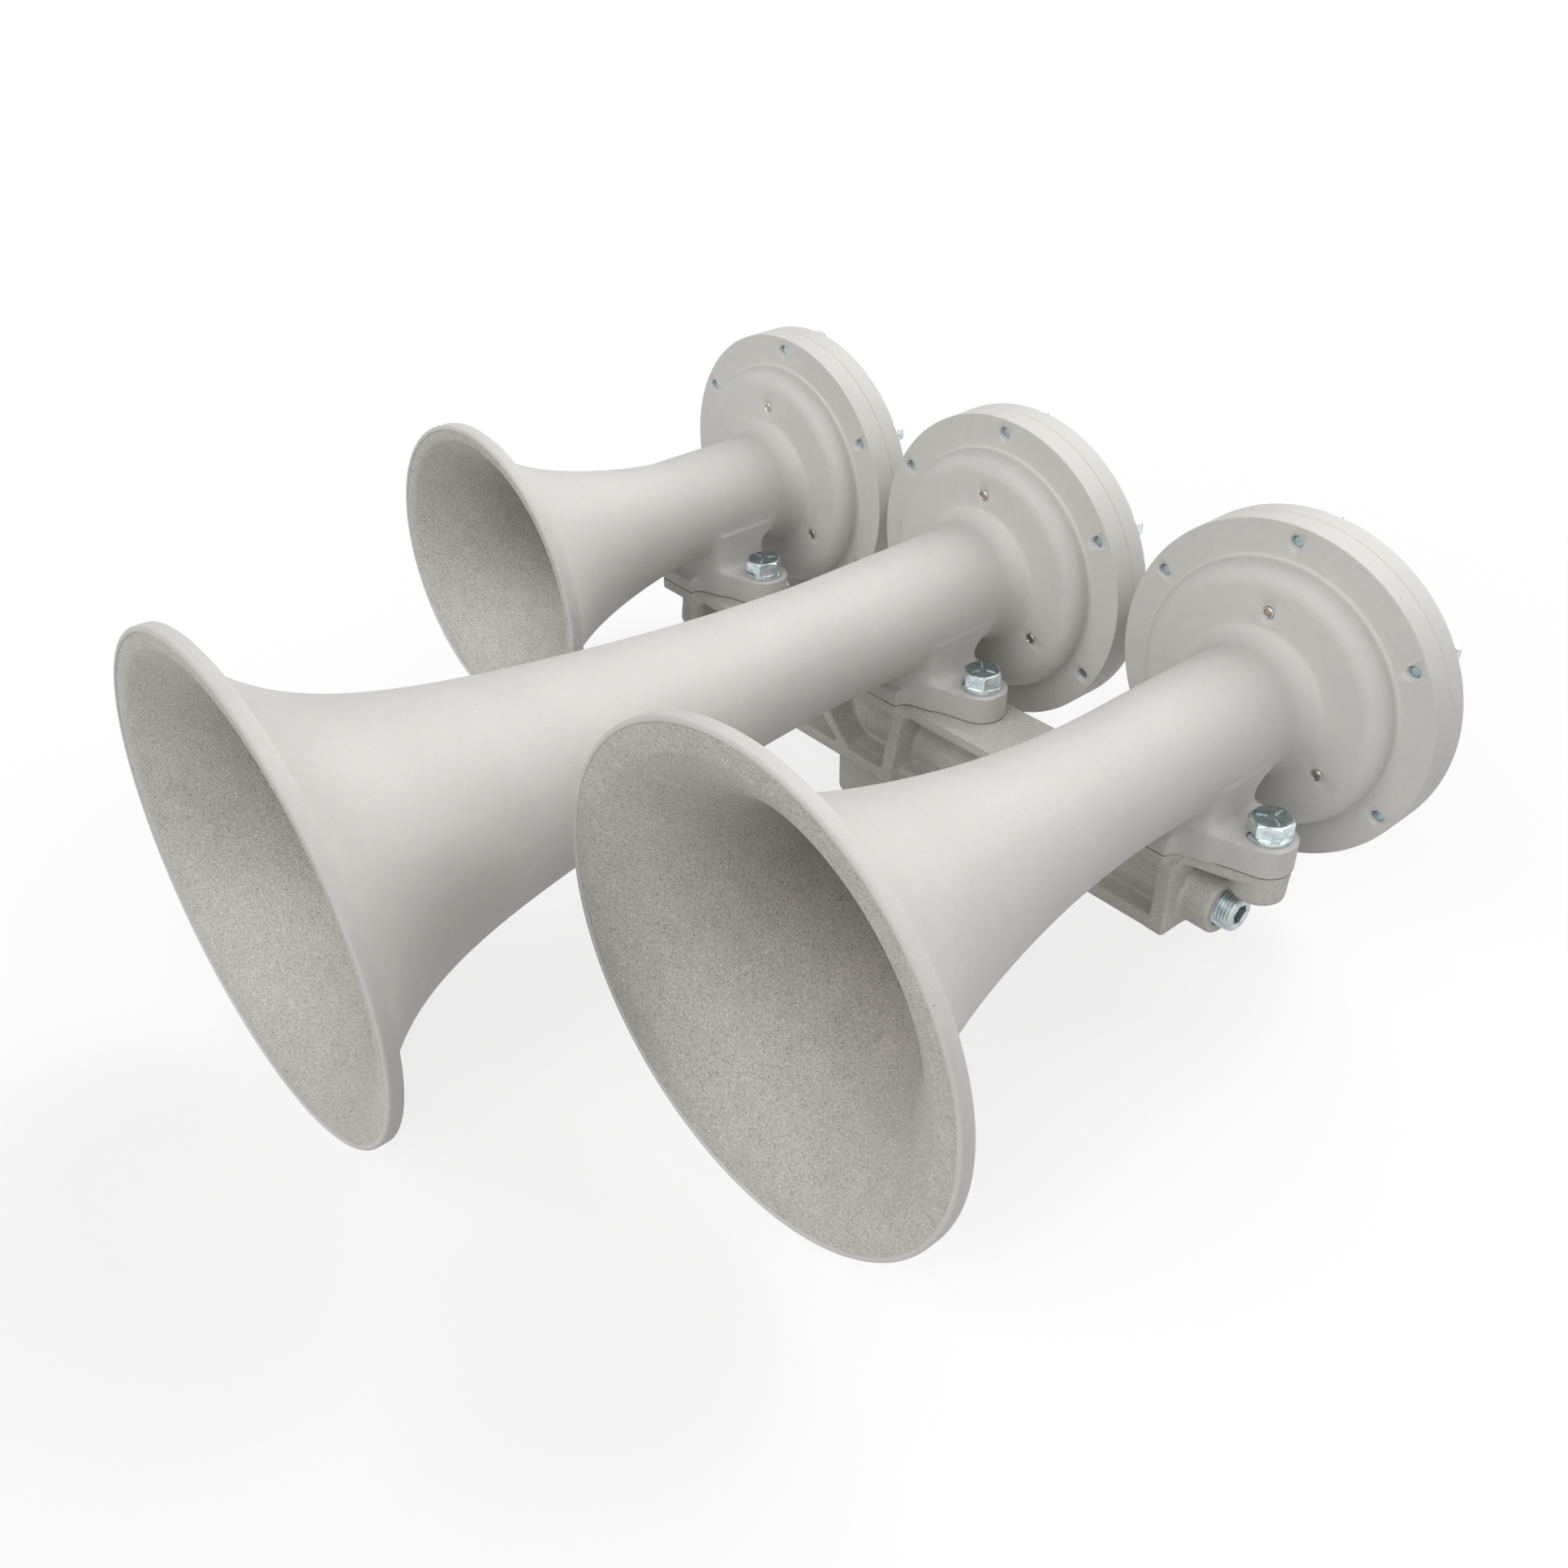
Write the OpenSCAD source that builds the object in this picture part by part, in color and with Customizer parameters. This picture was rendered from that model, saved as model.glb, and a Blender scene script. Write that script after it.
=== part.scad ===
// Locomotive air horn: three cast bells bolted in a row to one cast manifold.
// Millimetres. The underside of the base is z = 0 and the bell mouths face -y.

/* [Horn row] */
// Gap between the rear flanges of neighbouring horns
horn_gap = 6.5; // [4:0.5:32]
// Height of the horn axes above the underside of the base
axis_height = 130; // [124:0.5:160]
// Distance from the air tube centreline back to the fronts of the rear flanges
set_back = 64.5; // [60:0.5:75]

/* [Short bell] */
// Length from the rear flange to the mouth
short_length = 227; // [215:1:280]
// Greatest diameter of the rim
short_mouth = 176; // [150:1:200]
// Outer diameter of the neck
short_neck = 63.5; // [60:0.5:70]
// Length of the flared part, measured back from the mouth
short_flare = 132; // [110:1:145]

/* [Medium bell] */
// Length from the rear flange to the mouth
medium_length = 340.5; // [310:0.5:400]
// Greatest diameter of the rim
medium_mouth = 228; // [190:1:250]
// Outer diameter of the neck
medium_neck = 66; // [60:0.5:70]
// Length of the flared part, measured back from the mouth
medium_flare = 224.5; // [180:0.5:230]

/* [Long bell] */
// Length from the rear flange to the mouth
long_length = 458; // [430:1:520]
// Greatest diameter of the rim
long_mouth = 236; // [200:1:250]
// Outer diameter of the neck
long_neck = 66.5; // [60:0.5:70]
// Length of the flared part, measured back from the mouth
long_flare = 329.5; // [280:0.5:345]

/* [Bell walls] */
// Wall of the flared part
bell_wall = 4; // [3:0.25:6]
// Wall around the air chamber in the neck
neck_wall = 5; // [4:0.25:7]
// Axial thickness of the rim
rim_thick = 7; // [5:0.5:10]
// Rounding of the rim's outer front edge
rim_round = 1.5; // [1:0.25:4]
// Width of the rim's flat front face
rim_land = 1.25; // [0.75:0.25:4]
// Bore of the throat at the diaphragm
throat_bore = 19; // [14:0.5:24]
// Wall of the throat tube
throat_wall = 3.5; // [2.5:0.25:4.5]
// Narrowest air gap around the throat tube
throat_gap = 4; // [3:0.25:5]

/* [Rear chamber] */
// Thickness of the rear flange
flange_thick = 13; // [11:0.5:18]
// Thickness of the back cover
cover_thick = 13.4; // [11:0.1:18]
// Outer diameter of the raised dome
dome_d = 140; // [132:0.5:144]
// Height of the dome above the rear flange
dome_height = 13.5; // [12:0.5:18]
// Wall of the dome
dome_wall = 5; // [4:0.25:7]
// Diameter of the diaphragm
diaphragm_d = 148; // [140:0.5:160]
// Thickness of the diaphragm
diaphragm_thick = 1; // [0.5:0.1:2]
// Thickness of the seal ring in front of the diaphragm
seal_thick = 1.5; // [1:0.1:3]
// Thickness of the clamp ring behind the diaphragm
clamp_thick = 3.5; // [2.5:0.1:5]
// Radial width of the seal ring and of the clamp ring
ring_width = 8; // [5:0.5:9]
// Depth of the hollow in the back cover
cover_hollow = 6; // [4:0.5:7]

/* [Cover screws] */
// Distance from the edge of the diaphragm out to the centre of a screw
screw_inset = 7; // [6:0.25:9]
// Distance from the centre of a screw out to the edge of the rear flange and of the back cover
screw_edge = 8; // [7:0.25:11]
// Number of screws in one cover
screw_count = 6; // [4:1:8]
// Diameter of a screw
screw_d = 6.35; // [5:0.05:6.6]
// Length of a screw below its head
screw_length = 25.4; // [24:0.1:27]
// Width of the hexagonal head across its flats
screw_flats = 11.1; // [10:0.1:11.5]
// Height of the hexagonal head
screw_head = 4; // [3:0.1:6]
// Thickness of a lock washer
screw_washer = 1.6; // [1:0.1:2.5]

/* [Dome plugs] */
// Diameter of the circle of plugs
plug_circle = 97; // [92:0.5:104]
// Diameter of a plug
plug_d = 6; // [4:0.1:7]
// Number of plugs in one dome
plug_count = 3; // [2:1:5]

/* [Foot] */
// Height of the seam between the feet and the manifold above the base underside
seam_height = 80; // [78:0.5:84]
// Thickness of a foot at its ears
foot_thick = 15; // [12:0.5:17]
// Distance between the two ears of a foot
ear_span = 96.6; // [92:0.2:104]
// Diameter of an ear
ear_d = 28.6; // [25:0.1:30]
// Diameter of the round middle of a foot
foot_d = 53.6; // [50:0.2:58]
// Distance from the air tube centreline back to the middle of a foot
foot_shift = 5.2; // [3:0.1:7]
// Width of the pedestal between a foot and its neck
pedestal_w = 60; // [52:0.5:62]
// Width of the lug in front of a foot
lug_w = 30; // [24:0.5:34]
// Reach of the lug in front of the middle of a foot
lug_reach = 32.2; // [31:0.2:36]
// Height of the lug above the seam
lug_rise = 8.3; // [6:0.1:11]
// Thickness of the gasket under a foot
gasket_thick = 0.8; // [0.5:0.1:1.5]

/* [Foot bolts] */
// Diameter of a bolt
bolt_d = 12.7; // [10:0.1:13]
// Length of a bolt below its head
bolt_length = 31.75; // [28:0.05:34]
// Width of the hexagonal head across its flats
bolt_flats = 19.05; // [17:0.05:20]
// Height of the hexagonal head
bolt_head = 8; // [6:0.1:9]
// Outer diameter of a lock washer
bolt_washer_d = 22; // [20:0.2:24]
// Thickness of a lock washer
bolt_washer = 3; // [2:0.1:3.5]

/* [Manifold] */
// Outer diameter of the air tube
tube_d = 31; // [29:0.5:34]
// Height of the air tube axis above the underside of the base
tube_height = 48; // [47:0.5:50]
// Bore of the air tube
gallery_bore = 20; // [14:0.5:20]
// Bore of the passage up into each horn
riser_bore = 14; // [10:0.5:16]
// Reach of the tube beyond the axis of the short horn
blind_reach = 12; // [11:0.5:24]
// Reach of the tube beyond the axis of the medium horn
plug_reach = 36; // [32:0.5:44]
// Thickness of the plate under the feet
plate_thick = 7; // [5:0.25:9]
// Width of the plate between the feet
plate_w = 45; // [40:0.5:48]
// Depth of the bolt bosses below the seam
boss_depth = 18; // [15:0.5:20]
// Distance from the air tube's axis forwards to the face of the upright web
web_front = 8; // [7:0.5:12]
// Thickness of the upright web between the bottom flange and the plate
web_thick = 6; // [4:0.5:8]
// Thickness of the front ribs
rib_thick = 8; // [5:0.5:9]
// Distance from a horn axis to the middle of its front rib
rib_shift = 15; // [10:0.5:16]
// Thickness of the bottom flange
bottom_thick = 8; // [6:0.5:9]
// Reach of the shelf and of the brace above it beside the base, from the long horn's axis
shelf_reach = 63; // [58:0.5:72]

/* [Base] */
// Width of the base block along the row of horns
base_w = 66; // [64:0.5:90]
// Depth of the base block from front to back
base_depth = 51; // [48:0.5:60]
// Height of the base block up to the bottom flange
base_height = 32; // [28:0.5:32]
// Rounding of the lower corners
base_round = 8; // [4:0.5:8]
// Diameter of the tapped air inlet at its wall
inlet_d = 24; // [20:0.1:25]
// Depth of the tapped air inlet
inlet_depth = 18; // [14:0.5:20]
// Distance between the mounting holes along the row of horns
mount_x = 48; // [46:0.5:50]
// Distance between the mounting holes from front to back
mount_y = 34; // [33:0.5:35]
// Diameter of a mounting hole at its wall
mount_d = 9.5; // [6:0.1:10]
// Depth of a mounting hole
mount_depth = 20; // [14:0.5:24]

/* [End plug] */
// Outer diameter of the thread
end_d = 21.3; // [20.5:0.1:23]
// Length of the plug that shows outside the tube
end_show = 9; // [6:0.5:14]
// Length of the plug inside the tube
end_grip = 13; // [10:0.5:16]
// Distance between neighbouring threads
end_thread = 1.8; // [1.4:0.1:2.2]
// Width of the hexagonal socket across its flats
end_socket = 9.5; // [8:0.1:11]

/* [Hidden] */
$fn = 96;

// How each bell opens: part of the swell that dies away quickly near the mouth,
// how quickly it does so, and the power of the slower part behind it
short_curve = [0.546, 28.4, 1.28];
medium_curve = [0.428, 16.7, 1.94];
long_curve = [0.551, 31.6, 1.58];
flare_steps = 22;

// Overlaps that keep faces from only touching, and the reach of cuts beyond a face
eps = 0.01;
lap = 0.05;
cut = 1;

// Named clearances
screw_slack = 0.25;
bolt_slack = 0.4;
tap_slack = 0.05;
tap_room = 1.5;
ring_slack = 0.3;
plug_dome = 0.9;
washer_slot = 1.2;

first_screw = 30;
first_plug = 90;
screw_r = diaphragm_d / 2 + screw_inset;
disc_r = screw_r + screw_edge;
pitch = 2 * disc_r + horn_gap;
short_x = -pitch;
long_x = 0;
medium_x = pitch;
dome_r = dome_d / 2;
dome_round = dome_height - 3.5;
foot_fillet = 2;
neck_flare = 18;
neck_turn = 50;
edge_break = 0.5;
recess_r = diaphragm_d / 2 + ring_slack;
recess_z = -flange_thick + clamp_thick + diaphragm_thick + seal_thick;
throat_z = -flange_thick + clamp_thick + diaphragm_thick;
ring_in = diaphragm_d / 2 - ring_width;
chamber_end = set_back - foot_shift + riser_bore / 2 + 2;
foot_z = seam_height + gasket_thick / 2;
pad_z = seam_height - gasket_thick / 2;
ear_z = foot_z + foot_thick;
tap_z = ear_z + bolt_washer - bolt_length - tap_room;
boss_z = seam_height - boss_depth;
plate_z = pad_z - plate_thick;
bottom_z = base_height + bottom_thick;
base_front = base_depth / 2;
tube_left = short_x - blind_reach;
tube_right = medium_x + plug_reach;
tangent = acos((foot_d - ear_d) / ear_span);
block_y = tube_d / 2 - 0.6;

// Radius of a bell's outside at distance d behind its mouth, down to the neck at the flare's end
function fade(d, length, c) = (exp(-d / c[1]) - exp(-length / c[1])) / (1 - exp(-length / c[1]));
function flare(d, mouth, neck, length, c) =
    neck / 2 + (mouth - neck) / 2
    * (c[0] * fade(d, length, c) + (1 - c[0]) * pow(max(0, 1 - d / length), c[2]));
function slope(d, mouth, neck, length, c) =
    (flare(d + 0.05, mouth, neck, length, c) - flare(d - 0.05, mouth, neck, length, c)) / 0.1;
function arc(x, y, r, a0, a1, n) =
    [for (i = [0 : n]) [x + r * cos(a0 + (a1 - a0) * i / n), y + r * sin(a0 + (a1 - a0) * i / n)]];
// Distances behind the mouth, closer together near the rim
function step_at(i, start, length) = start + (length - start) * pow(i / flare_steps, 1.5);

// Outside of a bell casting from the rear flange to the rim, as radius and distance
function outside(length, mouth, neck, flare_len, c) = concat(
    [[0, -flange_thick], [disc_r, -flange_thick], [disc_r, -edge_break], [disc_r - edge_break, 0]],
    arc(dome_r + foot_fillet, foot_fillet, foot_fillet, 270, 180, 6),
    arc(dome_r - dome_round, dome_height - dome_round, dome_round, 0, 90, 10),
    arc(neck / 2 + neck_flare, dome_height + neck_flare * sin(neck_turn), neck_flare,
        180 + neck_turn, 180, 8),
    [for (i = [flare_steps : -1 : 0])
        let (d = step_at(i, rim_thick, flare_len))
        [flare(d, mouth, neck, flare_len, c), length - d]],
    [[mouth / 2, length - rim_thick]],
    arc(mouth / 2 - rim_round, length - rim_round, rim_round, 0, 90, 6),
    [[0, length]]);

// Sound passage from the throat to the mouth
function passage(length, mouth, neck, flare_len, c) = concat(
    [[0, throat_z - cut], [throat_bore / 2, throat_z - cut], [throat_bore / 2, throat_z],
     [throat_bore / 2 + 0.5, throat_z + 8],
     [neck / 2 - neck_wall - throat_gap - throat_wall, chamber_end]],
    [for (i = [flare_steps : -1 : 0])
        let (d = step_at(i, rim_thick, flare_len),
             m = slope(d, mouth, neck, flare_len, c),
             w = bell_wall / sqrt(1 + m * m))
        [flare(d, mouth, neck, flare_len, c) - w, length - d - w * m]],
    [[mouth / 2 - rim_round - rim_land, length],
     [mouth / 2 - rim_round - rim_land, length + cut], [0, length + cut]]);

// Air space around the throat, under the dome and in the seat of the diaphragm
function air_space(neck) = concat(
    [[0, -flange_thick - cut], [recess_r, -flange_thick - cut], [recess_r, recess_z],
     [dome_r - dome_wall, recess_z]],
    arc(dome_r - dome_round, dome_height - dome_round, dome_round - dome_wall, 0, 90, 6),
    [[neck / 2 - neck_wall, dome_height - dome_wall], [neck / 2 - neck_wall, chamber_end],
     [neck / 2 - neck_wall - throat_gap, chamber_end],
     [throat_bore / 2 + 0.5 + throat_wall, throat_z + 8],
     [throat_bore / 2 + throat_wall, throat_z], [0, throat_z]]);

// Local z runs forwards along a horn's axis from the front of its rear flange
module on_axis(x) translate([x, set_back, axis_height]) rotate([90, 0, 0]) children();
module at_foot(x, z) translate([x, foot_shift, z]) children();
module around(count, radius, first) {
    for (i = [0 : count - 1])
        rotate([0, 0, first + 360 * i / count]) translate([radius, 0, 0]) children();
}
module at_ears(x, z) {
    for (s = [-1, 1]) translate([x + s * ear_span / 2, foot_shift, z]) children();
}
module between(x0, x1, y0, y1, z0, z1) translate([x0, y0, z0]) cube([x1 - x0, y1 - y0, z1 - z0]);

// Outline that a foot, its gasket and its pad on the manifold share; the ears may hang lower
module two_ears(height, shrink, drop = 0) {
    c = foot_d / 2 - shrink;
    e = ear_d / 2 - shrink;
    cylinder(r = c + lap, h = height);
    for (s = [-1, 1]) {
        translate([s * ear_span / 2, 0, -drop]) cylinder(r = e + lap, h = height + drop);
        linear_extrude(height = height)
            polygon([[s * c * cos(tangent), c * sin(tangent)],
                     [s * (ear_span / 2 + e * cos(tangent)), e * sin(tangent)],
                     [s * (ear_span / 2 + e * cos(tangent)), -e * sin(tangent)],
                     [s * c * cos(tangent), -c * sin(tangent)]]);
    }
}
// Lug on the front of a foot, with rounded roots and corners
module lug(height, left, right) {
    root = 6;
    corner = 3;
    between(-left, right, -lug_reach + corner, -foot_d / 4, 0, height);
    between(-left + corner, right - corner, -lug_reach, -foot_d / 4, 0, height);
    translate([-left + corner, -lug_reach + corner, 0]) cylinder(r = corner, h = height);
    translate([right - corner, -lug_reach + corner, 0]) cylinder(r = corner, h = height);
    difference() {
        between(right - eps, right + root, -foot_d / 2 + 1, -foot_d / 4, 0, height);
        translate([right + root, -foot_d / 2 + 1, -cut]) cylinder(r = root, h = height + 2 * cut);
    }
    difference() {
        between(-left - root, -left + eps, -foot_d / 2 + 1, -foot_d / 4, 0, height);
        translate([-left - root, -foot_d / 2 + 1, -cut]) cylinder(r = root, h = height + 2 * cut);
    }
}

// Pedestal from the foot up to the neck, with a hooked back edge
module pedestal(x) {
    back = 19.7 - foot_shift;
    hook = 8;
    hook_z = axis_height - 26;
    intersection() {
        at_foot(x, foot_z) {
            two_ears(axis_height - foot_z, 0);
            between(-pedestal_w / 2, pedestal_w / 2, 0, foot_d, 0, axis_height - foot_z);
        }
        translate([x - pedestal_w / 2, foot_shift, 0]) rotate([90, 0, 90])
            linear_extrude(height = pedestal_w)
                polygon(concat([[-foot_d, foot_z], [back, foot_z]],
                               arc(back + hook, hook_z, hook, 180, 90, 8),
                               [[back + hook, axis_height], [-foot_d, axis_height]]));
    }
}

module bell(x, length, mouth, neck, flare_len, c) {
    difference() {
        union() {
            on_axis(x) rotate_extrude() polygon(outside(length, mouth, neck, flare_len, c));
            at_foot(x, foot_z) two_ears(foot_thick, 0);
            at_foot(x, foot_z) lug(lug_rise, lug_w / 2, lug_w / 2);
            pedestal(x);
        }
        on_axis(x) rotate_extrude() polygon(passage(length, mouth, neck, flare_len, c));
        on_axis(x) rotate_extrude() polygon(air_space(neck));
        on_axis(x) translate([0, 0, -flange_thick - cut])
            around(screw_count, screw_r, first_screw) cylinder(d = screw_d + 2 * tap_slack,
                                                      h = flange_thick + 2 * cut);
        on_axis(x) translate([0, 0, -edge_break])
            around(screw_count, screw_r, first_screw) cylinder(d1 = screw_d, d2 = screw_d + 4 * edge_break,
                                                      h = 2 * edge_break);
        on_axis(x) translate([0, 0, dome_height - dome_wall - cut])
            around(plug_count, plug_circle / 2, first_plug) cylinder(d = plug_d + 2 * tap_slack,
                                                             h = dome_wall + 2 * cut);
        at_foot(x, foot_z - cut) cylinder(d = riser_bore, h = axis_height - neck / 2 - foot_z
                                                              + neck_wall + 2 * cut);
        at_ears(x, foot_z - cut) cylinder(d = bolt_d + 2 * bolt_slack, h = foot_thick + 2 * cut);
    }
}

module cover(x) {
    on_axis(x) translate([0, 0, -flange_thick - cover_thick]) difference() {
        rotate_extrude() polygon(concat(
            [[0, 2], [dome_r - 28, 2], [dome_r - 26, 0]],
            arc(disc_r - 3, 3, 3, 270, 360, 6),
            [[disc_r, cover_thick], [ring_in - 2, cover_thick],
             [ring_in - 5, cover_thick - cover_hollow], [0, cover_thick - cover_hollow]]));
        translate([0, 0, -cut]) around(screw_count, screw_r, first_screw)
            cylinder(d = screw_d + 2 * screw_slack, h = cover_thick + 2 * cut);
    }
}
module diaphragm(x) {
    on_axis(x) translate([0, 0, throat_z - diaphragm_thick])
        cylinder(d = diaphragm_d, h = diaphragm_thick);
}
module ring(x, z, thick) {
    on_axis(x) translate([0, 0, z]) difference() {
        cylinder(d = diaphragm_d, h = thick);
        translate([0, 0, -cut]) cylinder(r = ring_in, h = thick + 2 * cut);
    }
}
// Hexagonal head with its corners turned off, standing on z = 0
module hex_head(flats, height) {
    intersection() {
        cylinder(d = flats / cos(30), h = height, $fn = 6);
        union() {
            cylinder(d = flats / cos(30) + 1, h = height - flats / 12);
            translate([0, 0, height - flats / 12])
                cylinder(d1 = flats / cos(30) + 0.2, d2 = flats * 0.94, h = flats / 12);
        }
    }
}
module split_washer(inner, outer, thick) {
    difference() {
        cylinder(d = outer, h = thick);
        translate([0, 0, -cut]) cylinder(d = inner, h = thick + 2 * cut);
        translate([inner / 4, -washer_slot / 2, -cut]) cube([outer, washer_slot, thick + 2 * cut]);
    }
}
module cover_screws(x) {
    on_axis(x) translate([0, 0, -flange_thick - cover_thick - screw_washer])
        around(screw_count, screw_r, first_screw) {
            rotate([180, 0, 30]) hex_head(screw_flats, screw_head);
            translate([0, 0, -eps]) cylinder(d = screw_d, h = screw_length - 1 + eps);
            translate([0, 0, screw_length - 1]) cylinder(d1 = screw_d, d2 = screw_d - 1.6, h = 1);
        }
}
module cover_washers(x) {
    on_axis(x) translate([0, 0, -flange_thick - cover_thick - screw_washer])
        around(screw_count, screw_r, first_screw)
            split_washer(screw_d + 2 * screw_slack, screw_flats + 0.6, screw_washer);
}
module dome_plugs(x) {
    on_axis(x) translate([0, 0, dome_height - dome_wall])
        around(plug_count, plug_circle / 2, first_plug) rotate_extrude() polygon(concat(
            [[0, 0], [plug_d / 2 - 0.4, 0], [plug_d / 2, 0.4], [plug_d / 2, dome_wall - 0.3]],
            [for (i = [1 : 5]) [plug_d / 2 * cos(i * 18), dome_wall - 0.3 + plug_dome * sin(i * 18)]]));
}
module foot_gasket(x) {
    difference() {
        at_foot(x, pad_z) {
            two_ears(gasket_thick, 0.3);
            between(-lug_w / 2 + 0.5, lug_w / 2 - 0.5, -lug_reach + 1, 0, 0, gasket_thick);
        }
        at_foot(x, pad_z - cut) cylinder(d = riser_bore, h = gasket_thick + 2 * cut);
        at_ears(x, pad_z - cut) cylinder(d = bolt_d + 2 * bolt_slack, h = gasket_thick + 2 * cut);
    }
}
module foot_bolts(x) {
    at_ears(x, ear_z + bolt_washer) {
        rotate([0, 0, 10]) hex_head(bolt_flats, bolt_head);
        translate([0, 0, -bolt_length + 1]) cylinder(d = bolt_d, h = bolt_length - 1 + eps);
        translate([0, 0, -bolt_length]) cylinder(d1 = bolt_d - 2, d2 = bolt_d, h = 1);
    }
}
module foot_washers(x) {
    at_ears(x, ear_z) rotate([0, 0, -60])
        split_washer(bolt_d + 2 * bolt_slack, bolt_washer_d, bolt_washer);
}

// Pad, lug, bolt bosses and riser block of the manifold under one horn
module station(x) {
    at_foot(x, plate_z) two_ears(pad_z - plate_z, 0, plate_z - boss_z);
    at_foot(x, plate_z) lug(pad_z - plate_z, x == medium_x ? 3 : lug_w / 2, lug_w / 2);
    between(x - riser_bore / 2 - 5, x + riser_bore / 2 + 5, -block_y, block_y, tube_height, plate_z + 1);
}
// Front rib of one station, leaning out to the flange below it
module front_rib(x, lean) {
    front = lug_reach - foot_shift - 1;
    translate([x + rib_shift - rib_thick / 2, 0, 0]) rotate([90, 0, 90])
        linear_extrude(height = rib_thick)
            polygon([[0, pad_z - eps], [-front, pad_z - eps], [-front, plate_z],
                     [-base_front - lean, bottom_z], [-base_front - lean, base_height],
                     [0, base_height]]);
}
module base_block() {
    intersection() {
        between(-base_w / 2, base_w / 2, -base_front, base_front, 0, bottom_z);
        rotate([90, 0, 0]) translate([0, 0, -base_front - cut]) union() {
            for (s = [-1, 1]) translate([s * (base_w / 2 - base_round), base_round, 0])
                cylinder(r = base_round, h = base_depth + 2 * cut);
            between(-base_w / 2 + base_round, base_w / 2 - base_round, 0, bottom_z,
                    0, base_depth + 2 * cut);
            between(-base_w / 2, base_w / 2, base_round, bottom_z + cut,
                    0, base_depth + 2 * cut);
        }
    }
}
// Slanting brace from the flange in front of the base up to the tube
module brace(side) {
    foot_x = base_w / 2 - 14;
    top_x = shelf_reach - 5;
    thick = 5;
    mirror([side < 0 ? 0 : 1, 0, 0]) rotate([90, 0, 0])
        linear_extrude(height = base_front + 8)
            polygon([[-foot_x, base_height + 2], [-foot_x + 6, bottom_z],
                     [-top_x + thick, plate_z + eps], [-top_x - thick, plate_z + eps],
                     [-top_x, tube_height + 6]]);
}

module manifold() {
    difference() {
        union() {
            for (x = [short_x, long_x, medium_x]) station(x);
            between(short_x, medium_x, -plate_w / 2, plate_w / 2, plate_z, pad_z);
            translate([tube_left, 0, tube_height]) rotate([0, 90, 0])
                cylinder(d = tube_d, h = tube_right - tube_left);
            between(tube_left + 4, medium_x + rib_shift, -web_front, -web_front + web_thick,
                    bottom_z - eps, plate_z + eps);
            between(tube_left + 4, medium_x + rib_shift + rib_thick / 2, -base_front,
                    plate_w / 2, base_height, bottom_z);
            between(-shelf_reach, rib_shift + rib_thick / 2, -base_front - 8, 0, base_height, bottom_z);
            front_rib(short_x, 0);
            front_rib(long_x, 8);
            front_rib(medium_x, 0);
            brace(-1);
            base_block();
        }
        translate([tube_left + 8, 0, tube_height]) rotate([0, 90, 0])
            cylinder(d = gallery_bore, h = tube_right - tube_left);
        translate([tube_right - end_grip - 2, 0, tube_height]) rotate([0, 90, 0])
            cylinder(d = end_d + 2 * tap_slack, h = end_grip + 2 + cut);
        for (x = [short_x, long_x, medium_x]) {
            at_foot(x, tube_height) cylinder(d = riser_bore, h = axis_height);
            at_ears(x, tap_z) cylinder(d = bolt_d + 2 * tap_slack, h = pad_z + cut - tap_z);
        }
        translate([0, 0, -cut]) cylinder(d = inlet_d, h = inlet_depth + cut);
        cylinder(d = inlet_d - 6, h = tube_height);
        for (sx = [-1, 1], sy = [-1, 1]) translate([sx * mount_x / 2, sy * mount_y / 2, -cut])
            cylinder(d = mount_d, h = mount_depth + cut);
    }
}

module end_plug() {
    rings = floor((end_show - 2.5) / end_thread);
    translate([tube_right, 0, tube_height]) rotate([0, 90, 0]) difference() {
        rotate_extrude() polygon(concat(
            [[0, -end_grip], [end_d / 2 - 0.8, -end_grip], [end_d / 2, -end_grip + 0.8],
             [end_d / 2, 0]],
            [for (i = [0 : rings - 1], j = [0, 1])
                [end_d / 2 - 0.9 * j - 0.08 * i, (i + 0.2 + j / 2) * end_thread]],
            [[end_d / 2 - 0.4, rings * end_thread + 0.3], [end_d / 2 - 1.7, end_show],
             [0, end_show]]));
        translate([0, 0, end_show - 8]) cylinder(d = end_socket / cos(30), h = 8 + cut, $fn = 6);
    }
}

module short_bell() color("silver")
    bell(short_x, short_length, short_mouth, short_neck, short_flare, short_curve);
module short_cover() color("lightgray") cover(short_x);
module short_diaphragm() color("steelblue") diaphragm(short_x);
module short_seal_ring() color("dimgray") ring(short_x, throat_z, seal_thick);
module short_clamp_ring() color("darkkhaki") ring(short_x, -flange_thick, clamp_thick);
module short_cover_screws() color("slategray") cover_screws(short_x);
module short_cover_washers() color("lightslategray") cover_washers(short_x);
module short_dome_plugs() color("peru") dome_plugs(short_x);
module short_foot_gasket() color("black") foot_gasket(short_x);
module short_foot_bolts() color("slategray") foot_bolts(short_x);
module short_foot_washers() color("lightslategray") foot_washers(short_x);
module long_bell() color("gainsboro")
    bell(long_x, long_length, long_mouth, long_neck, long_flare, long_curve);
module long_cover() color("lightgray") cover(long_x);
module long_diaphragm() color("steelblue") diaphragm(long_x);
module long_seal_ring() color("dimgray") ring(long_x, throat_z, seal_thick);
module long_clamp_ring() color("darkkhaki") ring(long_x, -flange_thick, clamp_thick);
module long_cover_screws() color("slategray") cover_screws(long_x);
module long_cover_washers() color("lightslategray") cover_washers(long_x);
module long_dome_plugs() color("peru") dome_plugs(long_x);
module long_foot_gasket() color("black") foot_gasket(long_x);
module long_foot_bolts() color("slategray") foot_bolts(long_x);
module long_foot_washers() color("lightslategray") foot_washers(long_x);
module medium_bell() color("silver")
    bell(medium_x, medium_length, medium_mouth, medium_neck, medium_flare, medium_curve);
module medium_cover() color("lightgray") cover(medium_x);
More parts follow.
